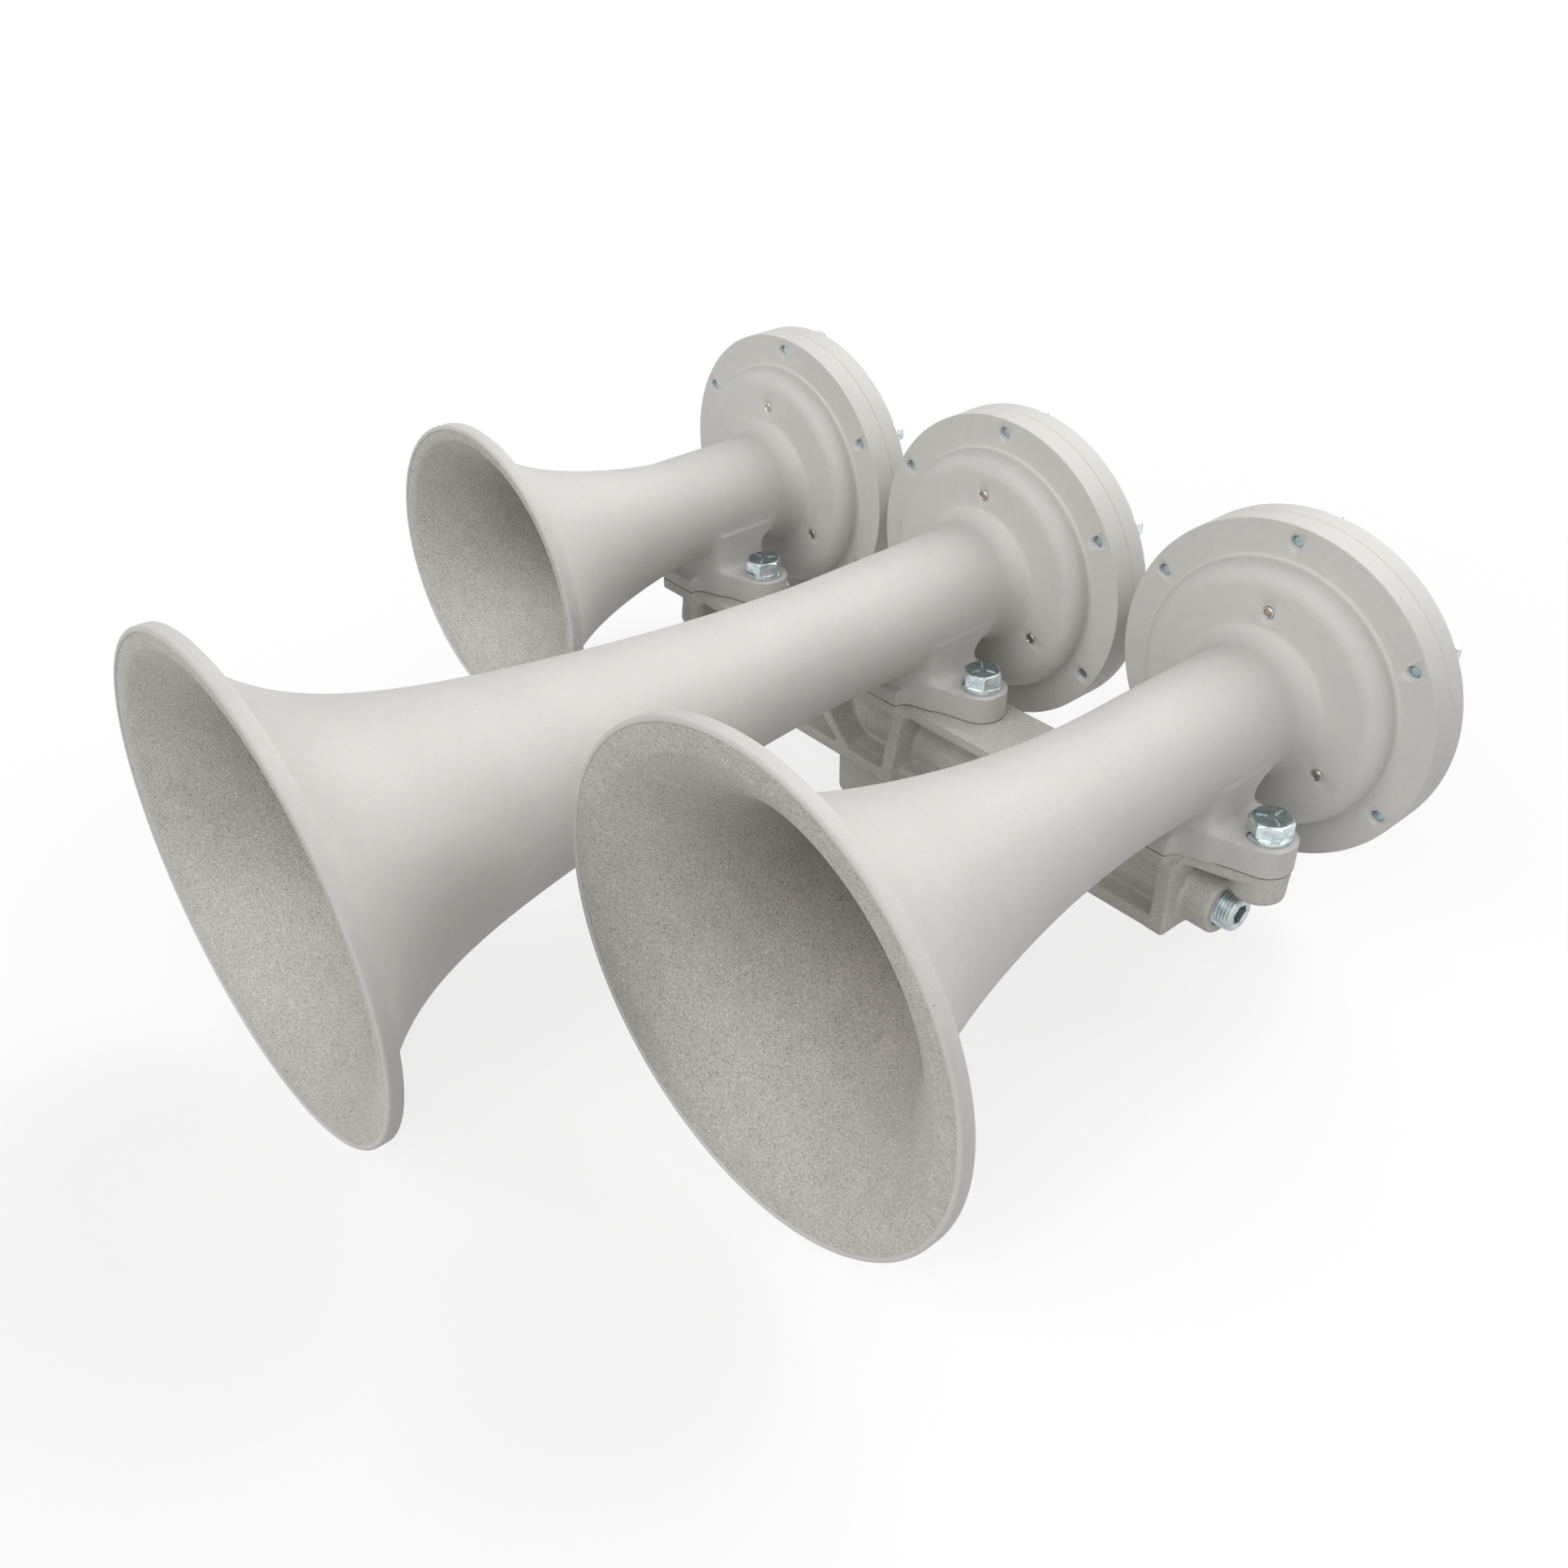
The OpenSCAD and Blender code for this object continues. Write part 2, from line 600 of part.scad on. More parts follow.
module medium_diaphragm() color("steelblue") diaphragm(medium_x);
module medium_seal_ring() color("dimgray") ring(medium_x, throat_z, seal_thick);
module medium_clamp_ring() color("darkkhaki") ring(medium_x, -flange_thick, clamp_thick);
module medium_cover_screws() color("slategray") cover_screws(medium_x);
module medium_cover_washers() color("lightslategray") cover_washers(medium_x);
module medium_dome_plugs() color("peru") dome_plugs(medium_x);
module medium_foot_gasket() color("black") foot_gasket(medium_x);
module medium_foot_bolts() color("slategray") foot_bolts(medium_x);
module medium_foot_washers() color("lightslategray") foot_washers(medium_x);

short_bell();
short_cover();
short_diaphragm();
short_seal_ring();
short_clamp_ring();
short_cover_screws();
short_cover_washers();
short_dome_plugs();
short_foot_gasket();
short_foot_bolts();
short_foot_washers();
long_bell();
long_cover();
long_diaphragm();
long_seal_ring();
long_clamp_ring();
long_cover_screws();
long_cover_washers();
long_dome_plugs();
long_foot_gasket();
long_foot_bolts();
long_foot_washers();
medium_bell();
medium_cover();
medium_diaphragm();
medium_seal_ring();
medium_clamp_ring();
medium_cover_screws();
medium_cover_washers();
medium_dome_plugs();
medium_foot_gasket();
medium_foot_bolts();
medium_foot_washers();
manifold();
end_plug();
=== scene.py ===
"""Looks of a locomotive air horn: three cast bells on one cast manifold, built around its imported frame."""

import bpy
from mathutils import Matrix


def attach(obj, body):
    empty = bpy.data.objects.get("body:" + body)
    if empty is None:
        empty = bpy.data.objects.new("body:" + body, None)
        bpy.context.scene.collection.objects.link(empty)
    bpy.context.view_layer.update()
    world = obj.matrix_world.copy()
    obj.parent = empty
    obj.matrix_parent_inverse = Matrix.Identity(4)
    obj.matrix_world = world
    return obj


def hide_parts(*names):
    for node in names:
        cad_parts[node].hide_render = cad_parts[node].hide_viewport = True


bl_info = {
    "name": "Locomotive Air Horn",
    "version": (1, 0, 0),
    "blender": (4, 5, 0),
    "location": "View3D > Sidebar > Air Horn",
    "description": "Builds the castings, fittings and finishes of a three-bell locomotive air horn",
    "category": "Object",
}

import math

import bpy
import numpy as np
from bpy.props import FloatProperty, FloatVectorProperty, PointerProperty
from mathutils import Matrix, Vector

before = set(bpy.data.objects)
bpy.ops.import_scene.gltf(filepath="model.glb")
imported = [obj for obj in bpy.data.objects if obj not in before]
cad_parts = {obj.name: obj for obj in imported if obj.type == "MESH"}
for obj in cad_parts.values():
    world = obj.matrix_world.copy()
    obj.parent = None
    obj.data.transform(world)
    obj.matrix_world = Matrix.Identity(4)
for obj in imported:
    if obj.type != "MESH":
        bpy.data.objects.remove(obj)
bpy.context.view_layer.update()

MM = 0.001
HORNS = ("short", "long", "medium")


# Values that a user may change

def length(name, description, mm):
    return FloatProperty(name=name, description=description, default=mm * MM, unit="LENGTH", precision=5)


def colour(name, description, rgb):
    return FloatVectorProperty(name=name, description=description, default=rgb, size=3,
                               min=0.0, max=1.0, subtype="COLOR")


class AirHornRow(bpy.types.PropertyGroup):
    """Places that the three horns share"""
    pitch: length("Pitch", "Distance between neighbouring horn axes", 184.5)
    axis_height: length("Axis height", "Height of the horn axes above the base", 130)
    set_back: length("Set-back", "Distance from the air tube back to the flange fronts", 64.5)
    disc: length("Disc diameter", "Diameter of rear flange and back cover", 178)
    flange: length("Flange thickness", "Thickness of the rear flange", 13)
    cover: length("Cover thickness", "Thickness of the back cover", 13.4)
    dome: length("Dome diameter", "Outer diameter of the raised dome", 140)
    dome_height: length("Dome height", "Height of the dome above the flange", 13.5)
    screw_circle: length("Screw circle", "Diameter of the circle of cover screws", 162)
    plug_circle: length("Plug circle", "Diameter of the circle of dome plugs", 97)


class AirHornBell(bpy.types.PropertyGroup):
    """Shape of one bell"""
    length: length("Length", "From the rear flange to the mouth", 300)
    mouth: length("Mouth", "Greatest diameter of the rim", 200)
    neck: length("Neck", "Outer diameter of the neck", 66)
    flare: length("Flare", "Length of the flared part", 200)
    swell: FloatProperty(name="Swell", description="Share of the opening close to the rim", default=0.5)
    fade: length("Fade", "Distance over which the swell dies away", 30)
    power: FloatProperty(name="Power", description="Curve of the slower part of the flare", default=1.5)


class AirHornFoot(bpy.types.PropertyGroup):
    """Foot of a bell and its bolts"""
    seam: length("Seam height", "Height of the seam above the base", 80)
    gasket: length("Gasket", "Thickness of the foot gasket", 0.8)
    thick: length("Thickness", "Thickness of the foot at its ears", 15)
    span: length("Ear span", "Distance between the two ears", 96.6)
    ear: length("Ear", "Diameter of an ear", 28.6)
    middle: length("Middle", "Diameter of the round middle", 53.6)
    shift: length("Shift", "Distance from the air tube back to the foot's middle", 5.2)
    bolt_flats: length("Bolt flats", "Width of a bolt head across its flats", 19.05)
    bolt_head: length("Bolt head", "Height of a bolt head", 8)
    washer: length("Washer", "Thickness of a split lock washer", 3)


class AirHornFinish(bpy.types.PropertyGroup):
    """Colours of the finishes, with painted shade deep inside the bells and on the bolt-head tops"""
    alloy: colour("Cast alloy", "Blasted cast aluminium", (0.60, 0.588, 0.565))
    # Painted shade, with some real discoloration: the darker colour painted deep inside the bells
    alloy_deep_shade_and_stain: colour("Alloy in hollows", "Cast aluminium deep inside the bells", (0.30, 0.275, 0.25))
    zinc: colour("Zinc", "Zinc plated steel", (0.70, 0.755, 0.765))
    # Painted shade: a darker zinc for the flat tops of the bolt heads, standing in for their dark reflection
    zinc_top_painted_shade: colour("Zinc tops", "Smooth tops of the bolt heads", (0.30, 0.345, 0.35))
    plug: colour("Plug", "Bright ring of a dome plug", (0.78, 0.75, 0.71))
    plug_centre: colour("Plug centre", "Coppery middle of a dome plug", (0.50, 0.42, 0.36))
    gasket: colour("Gasket", "Dark gasket sheet", (0.22, 0.205, 0.19))
    floor: colour("Floor", "Pale studio floor", (0.45, 0.45, 0.45))


class AirHornSettings(bpy.types.PropertyGroup):
    """All sizes and colours of the air horn"""
    row: PointerProperty(type=AirHornRow)
    short: PointerProperty(type=AirHornBell)
    medium: PointerProperty(type=AirHornBell)
    long: PointerProperty(type=AirHornBell)
    foot: PointerProperty(type=AirHornFoot)
    finish: PointerProperty(type=AirHornFinish)


# Length, mouth, neck, flare, swell, fade and power of each bell
BELL_SIZES = {
    "short": (227, 176, 63.5, 132, 0.546, 28.4, 1.28),
    "medium": (340.5, 228, 66, 224.5, 0.428, 16.7, 1.94),
    "long": (458, 236, 66.5, 329.5, 0.551, 31.6, 1.58),
}


def set_bells(settings):
    """Give each bell its own sizes, since one property group serves all three."""
    for name, (long_mm, mouth, neck, flare, swell, fade, power) in BELL_SIZES.items():
        bell = getattr(settings, name)
        bell.length, bell.mouth, bell.neck = long_mm * MM, mouth * MM, neck * MM
        bell.flare, bell.swell, bell.fade, bell.power = flare * MM, swell, fade * MM, power


def horn_x(settings, name):
    return {"short": -1, "long": 0, "medium": 1}[name] * settings.row.pitch / MM


# Distance fields, in millimetres

def soft_min(a, b, k):
    h = np.maximum(k - np.abs(a - b), 0.0)
    return np.minimum(a, b) - h * h / (4 * k)


def soft_max(a, b, k):
    return -soft_min(-a, -b, k)


def block(x, y, z, lo, hi, r):
    """Box with rounded edges."""
    parts = []
    for p, a, b in ((x, lo[0], hi[0]), (y, lo[1], hi[1]), (z, lo[2], hi[2])):
        parts.append(np.abs(p - (a + b) / 2) - (b - a) / 2 + r)
    out = np.sqrt(sum(np.maximum(q, 0.0) ** 2 for q in parts))
    return out + np.minimum(np.maximum(np.maximum(parts[0], parts[1]), parts[2]), 0.0) - r


def prism(outline, z, lo, hi, r):
    """Outline's distance drawn out from lo to hi, with rounded ends."""
    a = outline + r
    b = np.abs(z - (lo + hi) / 2) - (hi - lo) / 2 + r
    return np.minimum(np.maximum(a, b), 0.0) + np.hypot(np.maximum(a, 0.0), np.maximum(b, 0.0)) - r


def two_ears(u, v, middle_r, ear_r, reach):
    """Round middle that runs straight into a round ear on each side."""
    along, off = np.abs(u), np.abs(v)
    b = (middle_r - ear_r) / reach
    a = math.sqrt(1 - b * b)
    k = a * along - b * off
    straight = a * off + b * along - middle_r
    return np.where(k < 0, np.hypot(along, off) - middle_r,
                    np.where(k > a * reach, np.hypot(along - reach, off) - ear_r, straight))


def segment(u, v, a, b):
    """Distance to a straight stretch from a to b in a plane."""
    du, dv = b[0] - a[0], b[1] - a[1]
    t = np.clip(((u - a[0]) * du + (v - a[1]) * dv) / (du * du + dv * dv), 0, 1)
    return np.hypot(u - a[0] - t * du, v - a[1] - t * dv)


# Step for normals in millimetres, share below which a direction counts as flat,
# and share of a cell by which a point may leave it
NUDGE = 0.02
WEAK = 0.08
OVERHANG = 0.2


def skin(field, lo, hi, step):
    """Dual contour of a distance field on a grid, which keeps sharp edges sharp."""
    low = np.array(lo, float)
    axes = [np.arange(a, b + step, step) for a, b in zip(lo, hi)]
    f = field(*np.meshgrid(*axes, indexing="ij"))
    f[np.abs(f) < 1e-6] = 1e-6
    inside = f < 0
    shape = tuple(n - 1 for n in f.shape)
    cells, normals, spots, rings = [], [], [], []
    for axis in range(3):
        u, v = (axis + 1) % 3, (axis + 2) % 3
        first, second = range(shape[axis]), range(1, shape[axis] + 1)
        at = np.argwhere(inside.take(first, axis) != inside.take(second, axis))
        at = at[(at[:, u] > 0) & (at[:, v] > 0) & (at[:, u] < shape[u]) & (at[:, v] < shape[v])]
        end = at.copy()
        end[:, axis] += 1
        fa, fb = f[tuple(at.T)], f[tuple(end.T)]
        t = fa / (fa - fb)
        spot = low + step * at
        spot[:, axis] += step * t
        f_mid = field(*spot.T)
        f_mid[np.abs(f_mid) < 1e-9] = 1e-9
        same = (f_mid < 0) == (fa < 0)
        t0, f0 = np.where(same, t, 0.0), np.where(same, f_mid, fa)
        t1, f1 = np.where(same, 1.0, t), np.where(same, fb, f_mid)
        spot[:, axis] = low[axis] + step * (at[:, axis] + t0 + (t1 - t0) * f0 / (f0 - f1))
        normal = np.stack([field(*(spot + e).T) - field(*(spot - e).T) for e in NUDGE * np.eye(3)], 1)
        normal /= np.maximum(np.linalg.norm(normal, axis=1), 1e-9)[:, None]
        ring = []
        for du, dv in ((1, 1), (0, 1), (0, 0), (1, 0)):
            cell = at.copy()
            cell[:, u] -= du
            cell[:, v] -= dv
            ring.append((cell[:, 0] * shape[1] + cell[:, 1]) * shape[2] + cell[:, 2])
        ring = np.stack(ring, 1)
        cells.append(ring.flatten())
        normals.append(np.repeat(normal, 4, 0))
        spots.append(np.repeat(spot, 4, 0))
        back = ~inside[tuple(at.T)]
        ring[back] = ring[back][:, ::-1]
        rings.append(ring)
    normal, spot = np.concatenate(normals), np.concatenate(spots)
    used, cell = np.unique(np.concatenate(cells), return_inverse=True)

    def total(values):
        return np.stack([np.bincount(cell, column) for column in values.T], 1)

    middle = total(spot) / np.bincount(cell)[:, None]
    matrix = total((normal[:, :, None] * normal[:, None, :]).reshape(-1, 9)).reshape(-1, 3, 3)
    pull = total(normal * ((spot - middle[cell]) * normal).sum(1)[:, None])
    weight, ways = np.linalg.eigh(matrix)
    strong = weight > WEAK * weight[:, 2:]
    weight = np.where(strong, 1 / np.where(strong, weight, 1.0), 0.0)
    along = (ways * pull[:, :, None]).sum(1) * weight
    corner = low + step * np.stack(np.unravel_index(used, shape), 1)
    verts = middle + (ways * along[:, None, :]).sum(2)
    verts = np.clip(verts, corner - OVERHANG * step, corner + (1 + OVERHANG) * step)
    return verts, np.searchsorted(used, np.concatenate(rings))


# Meshes

def turned(profile, segments, closed=True):
    """Profile of (radius, distance forwards) turned round its axis."""
    angles = np.arange(segments) * 2 * math.pi / segments
    verts, rings = [], []
    for r, z in profile:
        if abs(r) < 1e-6:
            rings.append([len(verts)])
            verts.append((0.0, 0.0, z))
        else:
            rings.append(list(range(len(verts), len(verts) + segments)))
            verts.extend((r * math.cos(a), r * math.sin(a), z) for a in angles)
    faces = []
    last = len(rings) if closed else len(rings) - 1
    for i in range(last):
        a, b = rings[i], rings[(i + 1) % len(rings)]
        for s in range(segments):
            t = (s + 1) % segments
            if len(a) == 1 and len(b) == 1:
                continue
            if len(a) == 1:
                faces.append((a[0], b[s], b[t]))
            elif len(b) == 1:
                faces.append((a[s], b[0], a[t]))
            else:
                faces.append((a[s], b[s], b[t], a[t]))
    return np.array(verts, float), faces


def outward(verts, faces):
    """The faces, turned so that the solid's volume is positive."""
    volume = 0.0
    for f in faces:
        a = verts[f[0]]
        for i in range(1, len(f) - 1):
            volume += float(np.dot(a, np.cross(verts[f[i]], verts[f[i + 1]])))
    return [tuple(reversed(f)) for f in faces] if volume < 0 else [tuple(f) for f in faces]


def turned_solid(profile, segments):
    """Closed solid turned from a profile that starts and ends on the axis."""
    verts, faces = turned(profile, segments, False)
    return verts, outward(verts, faces)


def spaced(count, first, circle):
    """Places of equal fasteners on a circle, the first at an angle in degrees."""
    angles = [math.radians(first + 360 / count * i) for i in range(count)]
    return [(circle / MM / 2 * math.cos(a), circle / MM / 2 * math.sin(a)) for a in angles]


def joined(*parts):
    """Several (verts, faces) as one, with each part's number for its material slot."""
    verts, faces, slots, base = [], [], [], 0
    for number, (v, f) in enumerate(parts):
        verts.append(np.asarray(v, float))
        faces.extend(tuple(int(i) + base for i in face) for face in f)
        slots.extend([number] * len(f))
        base += len(v)
    return np.concatenate(verts), faces, slots


def placed(verts, x, y, z, turn=None):
    """Points, turned by a matrix and moved to a place."""
    v = np.asarray(verts, float)
    if turn is not None:
        v = v @ np.array(turn.to_3x3()).T
    return v + np.array((x, y, z))


def on_axis(settings, name, verts, x=0.0, y=0.0, z=0.0, turn=None):
    """Points placed beside a horn's axis, along which z runs forwards, in the frame of the part."""
    row = settings.row
    v = placed(verts, x, y, z, turn)
    return np.stack([v[:, 0] + horn_x(settings, name), row.set_back / MM - v[:, 2],
                     v[:, 1] + row.axis_height / MM], 1)


def placed_object(name, data):
    obj = bpy.data.objects.new(name, data)
    bpy.context.scene.collection.objects.link(obj)
    return obj


def piece(name, verts, faces, materials, slots=None, sharp=35, node=None):
    """Object of one piece in metres, riding on the part's body and standing for its CAD node."""
    mesh = bpy.data.meshes.new(name)
    mesh.from_pydata((np.asarray(verts) * MM).tolist(), [], [tuple(int(i) for i in f) for f in faces])
    mesh.validate()
    for material in materials:
        mesh.materials.append(material)
    if slots is not None and len(slots) == len(mesh.polygons):
        mesh.polygons.foreach_set("material_index", slots)
    mesh.shade_smooth()
    mesh.set_sharp_from_angle(angle=math.radians(sharp))
    obj = placed_object(name, mesh)
    if node:
        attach(obj, "root")
        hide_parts(node)
    return obj


def cut_by(obj, verts, faces):
    """Take closed cutters out of an object's mesh."""
    cutter = piece(obj.name + "_cutter", verts, faces, [])
    modifier = obj.modifiers.new("Cut", "BOOLEAN")
    modifier.operation = "DIFFERENCE"
    modifier.solver = "EXACT"
    modifier.object = cutter
    graph = bpy.context.evaluated_depsgraph_get()
    mesh = bpy.data.meshes.new_from_object(obj.evaluated_get(graph))
    obj.modifiers.remove(modifier)
    obj.data = mesh
    bpy.data.objects.remove(cutter)


# Shader node groups and materials

class Nodes:
    """Short calls for building a node tree."""

    def __init__(self, tree):
        self.tree = tree

    def add(self, kind, **values):
        node = self.tree.nodes.new(kind)
        for key, value in values.items():
            setattr(node, key, value)
        return node

    def link(self, a, b):
        self.tree.links.new(a, b)

    def set(self, socket, value):
        if isinstance(value, bpy.types.NodeSocket):
            self.tree.links.new(value, socket)
        elif value is not None:
            socket.default_value = value

    def math(self, operation, a, b):
        node = self.add("ShaderNodeMath", operation=operation)
        for socket, value in zip(node.inputs, (a, b)):
            self.set(socket, value)
        return node.outputs[0]

    def plus(self, a, b):
        return self.math("ADD", a, b)

    def minus(self, a, b):
        return self.math("SUBTRACT", a, b)

    def times(self, a, b):
        return self.math("MULTIPLY", a, b)

    def over(self, a, b):
        return self.math("DIVIDE", a, b)

    def ramp(self, value, a, b, lo=0.0, hi=1.0):
        node = self.add("ShaderNodeMapRange", interpolation_type="SMOOTHSTEP")
        for socket, v in zip(node.inputs, (value, a, b, lo, hi)):
            self.set(socket, v)
        return node.outputs[0]

    def noise(self, vector, scale, detail=2.0, rough=0.5):
        node = self.add("ShaderNodeTexNoise")
        self.set(node.inputs["Vector"], vector)
        self.set(node.inputs["Scale"], scale)
        self.set(node.inputs["Detail"], detail)
        self.set(node.inputs["Roughness"], rough)
        return node.outputs[0]

    def mix(self, factor, a, b, blend="MIX"):
        node = self.add("ShaderNodeMix", data_type="RGBA", blend_type=blend)
        self.set(node.inputs[0], factor)
        self.set(node.inputs[6], a)
        self.set(node.inputs[7], b)
        return node.outputs[2]

    def red(self, colour_socket):
        node = self.add("ShaderNodeSeparateColor")
        self.link(colour_socket, node.inputs[0])
        return node.outputs[0]

    def grey(self, value):
        node = self.add("ShaderNodeCombineColor")
        for socket in node.inputs:
            self.set(socket, value)
        return node.outputs[0]

    def tinted(self, a, b):
        return self.mix(1.0, a, b, "MULTIPLY")

    def cells(self, vector, scale):
        node = self.add("ShaderNodeTexVoronoi")
        self.set(node.inputs["Vector"], vector)
        self.set(node.inputs["Scale"], scale)
        return node.outputs

    def seen_rays(self):
        """1 for rays from the camera, from a mirror or through glass, 0 for the light on the part."""
        rays = self.add("ShaderNodeLightPath").outputs
        seen = self.math("MAXIMUM", rays["Is Camera Ray"], rays["Is Glossy Ray"])
        return self.math("MAXIMUM", seen, rays["Is Transmission Ray"])


def group_of(name, inputs, outputs, build):
    """Shader node group with named inputs and outputs, built once."""
    found = bpy.data.node_groups.get(name)
    if found:
        return found
    tree = bpy.data.node_groups.new(name, "ShaderNodeTree")
    for label, kind, default in inputs:
        socket = tree.interface.new_socket(label, in_out="INPUT", socket_type=kind)
        socket.default_value = default
    for label, kind in outputs:
        tree.interface.new_socket(label, in_out="OUTPUT", socket_type=kind)
    n = Nodes(tree)
    build(n, n.add("NodeGroupInput").outputs, n.add("NodeGroupOutput").inputs)
    return tree


def rgba(c):
    return (c[0], c[1], c[2], 1.0)


def build_blasted(n, i, o):
    """Fine blasted grain over slow mottling, with a few small dark pits."""
    place = i["Vector"]
    grain = n.noise(place, n.over(1.0, i["Grain"]), 3.0, 0.65)
    mottle = n.noise(place, n.over(0.09, i["Grain"]), 3.0, 0.55)
    broad = n.noise(place, 22.0, 2.0, 0.5)
    tone = n.plus(n.times(n.minus(grain, 0.5), i["Speckle"]), n.times(n.minus(mottle, 0.5), i["Mottle"]))
    tone = n.plus(tone, n.times(n.minus(broad, 0.5), i["Mottle"]))
    flecks = n.cells(place, n.over(0.8, i["Grain"]))
    shade = n.minus(n.red(flecks["Color"]), 0.55)
    spot = n.times(n.ramp(flecks["Distance"], 0.2, 0.5, 1.0, 0.0), shade)
    tone = n.plus(n.plus(tone, n.times(spot, i["Flecks"])), 1.0)
    cells = n.cells(place, 260.0)
    chosen = n.math("GREATER_THAN", n.red(cells["Color"]), n.minus(1.0, i["Pits"]))
    pit = n.times(n.ramp(cells["Distance"], 0.05, 0.10, 1.0, 0.0), chosen)
    bright = n.tinted(i["Colour"], n.grey(tone))
    warm = n.mix(n.times(n.ramp(mottle, 0.45, 0.75), 0.25), bright, n.tinted(bright, (1.0, 0.975, 0.94, 1.0)))
    n.link(n.mix(n.times(pit, 0.75), warm, (0.05, 0.045, 0.04, 1.0)), o["Colour"])
    n.link(n.plus(i["Roughness"], n.times(n.minus(mottle, 0.5), 0.16)), o["Roughness"])
    n.link(n.minus(n.plus(grain, n.times(mottle, 0.7)), n.times(pit, 2.0)), o["Height"])


VECTOR = ("Vector", "NodeSocketVector", (0, 0, 0))
COLOUR = ("Colour", "NodeSocketColor", (0.6, 0.6, 0.6, 1))
SURFACE = [("Colour", "NodeSocketColor"), ("Roughness", "NodeSocketFloat"), ("Height", "NodeSocketFloat")]


def blasted_group():
    values = {"Grain": 0.0006, "Speckle": 0.2, "Flecks": 0.1, "Mottle": 0.1, "Pits": 0.02, "Roughness": 0.55}
    floats = [(label, "NodeSocketFloat", default) for label, default in values.items()]
    return group_of("Blasted casting", [VECTOR, COLOUR] + floats, SURFACE, build_blasted)


def build_plated(n, i, o):
    """Zinc plating: cloudy blue-grey and pale patches with fine tool marks."""
    cloud = n.noise(i["Vector"], 260.0, 3.0, 0.6)
    fine = n.noise(i["Vector"], 2600.0, 2.0, 0.6)
    pale = n.tinted(i["Colour"], (1.10, 1.08, 1.05, 1.0))
    deep = n.tinted(i["Colour"], (0.70, 0.78, 0.84, 1.0))
    n.link(n.mix(n.ramp(cloud, 0.35, 0.65), deep, pale), o["Colour"])
    n.link(n.plus(i["Roughness"], n.times(n.minus(fine, 0.5), 0.25)), o["Roughness"])
    n.link(n.plus(fine, n.times(cloud, 0.6)), o["Height"])


def plated_group():
    rough = ("Roughness", "NodeSocketFloat", 0.3)
    return group_of("Plated steel", [VECTOR, COLOUR, rough], SURFACE, build_plated)


def new_material(name):
    material = bpy.data.materials.new(name)
    material.use_nodes = True
    n = Nodes(material.node_tree)
    shader = material.node_tree.nodes["Principled BSDF"]
    place = n.add("ShaderNodeTexCoord").outputs["Object"]
    return material, n, shader, place


def add_bump(n, shader, height, distance):
    bump = n.add("ShaderNodeBump")
    n.set(bump.inputs["Height"], height)
    bump.inputs["Distance"].default_value = distance
    n.link(bump.outputs[0], shader.inputs["Normal"])


def dress(n, shader, tree, values, metallic, bump):
    """Place a group with its values and join what it puts out to the shader."""
    node = n.add("ShaderNodeGroup", node_tree=tree)
    for key, value in values.items():
        n.set(node.inputs[key], value)
    n.link(node.outputs["Colour"], shader.inputs["Base Color"])
    n.link(node.outputs["Roughness"], shader.inputs["Roughness"])
    shader.inputs["Metallic"].default_value = metallic
    add_bump(n, shader, node.outputs["Height"], bump)


def alloy_material(name, settings, tint=(1.0, 1.0, 1.0), speckle=0.16, flecks=0.08, mottle=0.11, pits=0.03,
                   bump=0.00006, grain=0.0006, deep=None):
    """Blasted casting. deep is (y of the mouth, depth) over which the inside of a bell is painted darker:
    painted shade, with some real discoloration.
    """
    material, n, shader, place = new_material(name)
    base = rgba([c * t for c, t in zip(settings.finish.alloy, tint)])
    # Painted shade with some real discoloration: the colour goes over to the darker deep colour further into
    # the bell
    if deep:
        y = n.add("ShaderNodeSeparateXYZ")
        n.link(place, y.inputs[0])
        share = n.ramp(y.outputs[1], deep[0], deep[0] + deep[1])
        base = n.mix(share, base, rgba(settings.finish.alloy_deep_shade_and_stain))
    values = {"Vector": place, "Colour": base, "Grain": grain, "Speckle": speckle, "Flecks": flecks,
              "Mottle": mottle, "Pits": pits, "Roughness": 0.66}
    dress(n, shader, blasted_group(), values, 0.12, bump)
    return material


def plated_material(name, tint, rough=0.3):
    """Zinc plated steel or another bright metal."""
    material, n, shader, place = new_material(name)
    values = {"Vector": place, "Colour": rgba(tint), "Roughness": rough}
    dress(n, shader, plated_group(), values, 1.0, 0.00001)
    return material


def sheet_material(name, tint, rough, metallic=0.0):
    """Gasket sheet, rubber, rolled steel or brass of the inner pieces."""
    material, n, shader, place = new_material(name)
    fibre = n.noise(place, 900.0, 3.0, 0.6)
    cloud = n.noise(place, 60.0, 2.0, 0.5)
    tone = n.plus(0.86, n.times(n.plus(fibre, cloud), 0.14))
    n.link(n.tinted(rgba(tint), n.grey(tone)), shader.inputs["Base Color"])
    n.link(n.plus(rough - 0.08, n.times(cloud, 0.16)), shader.inputs["Roughness"])
    shader.inputs["Metallic"].default_value = metallic
    add_bump(n, shader, fibre, 0.00003)
    return material


# Shapes of the bells

def flare_radius(bell, d):
    """Outer radius at distance d behind the mouth, both in millimetres."""
    neck, mouth = bell.neck / MM / 2, bell.mouth / MM / 2
    run, fade = bell.flare / MM, bell.fade / MM
    end = np.exp(-run / fade)
    swell = (np.exp(-d / fade) - end) / (1 - end)
    slow = np.maximum(0.0, 1 - d / run) ** bell.power
    r = neck + (mouth - neck) * (bell.swell * swell + (1 - bell.swell) * slow)
    return np.where(d < run, r, neck)


def arc(x, y, r, a0, a1, n):
    t = np.radians(np.linspace(a0, a1, n + 1))
    return [(x + r * math.cos(a), y + r * math.sin(a)) for a in t]


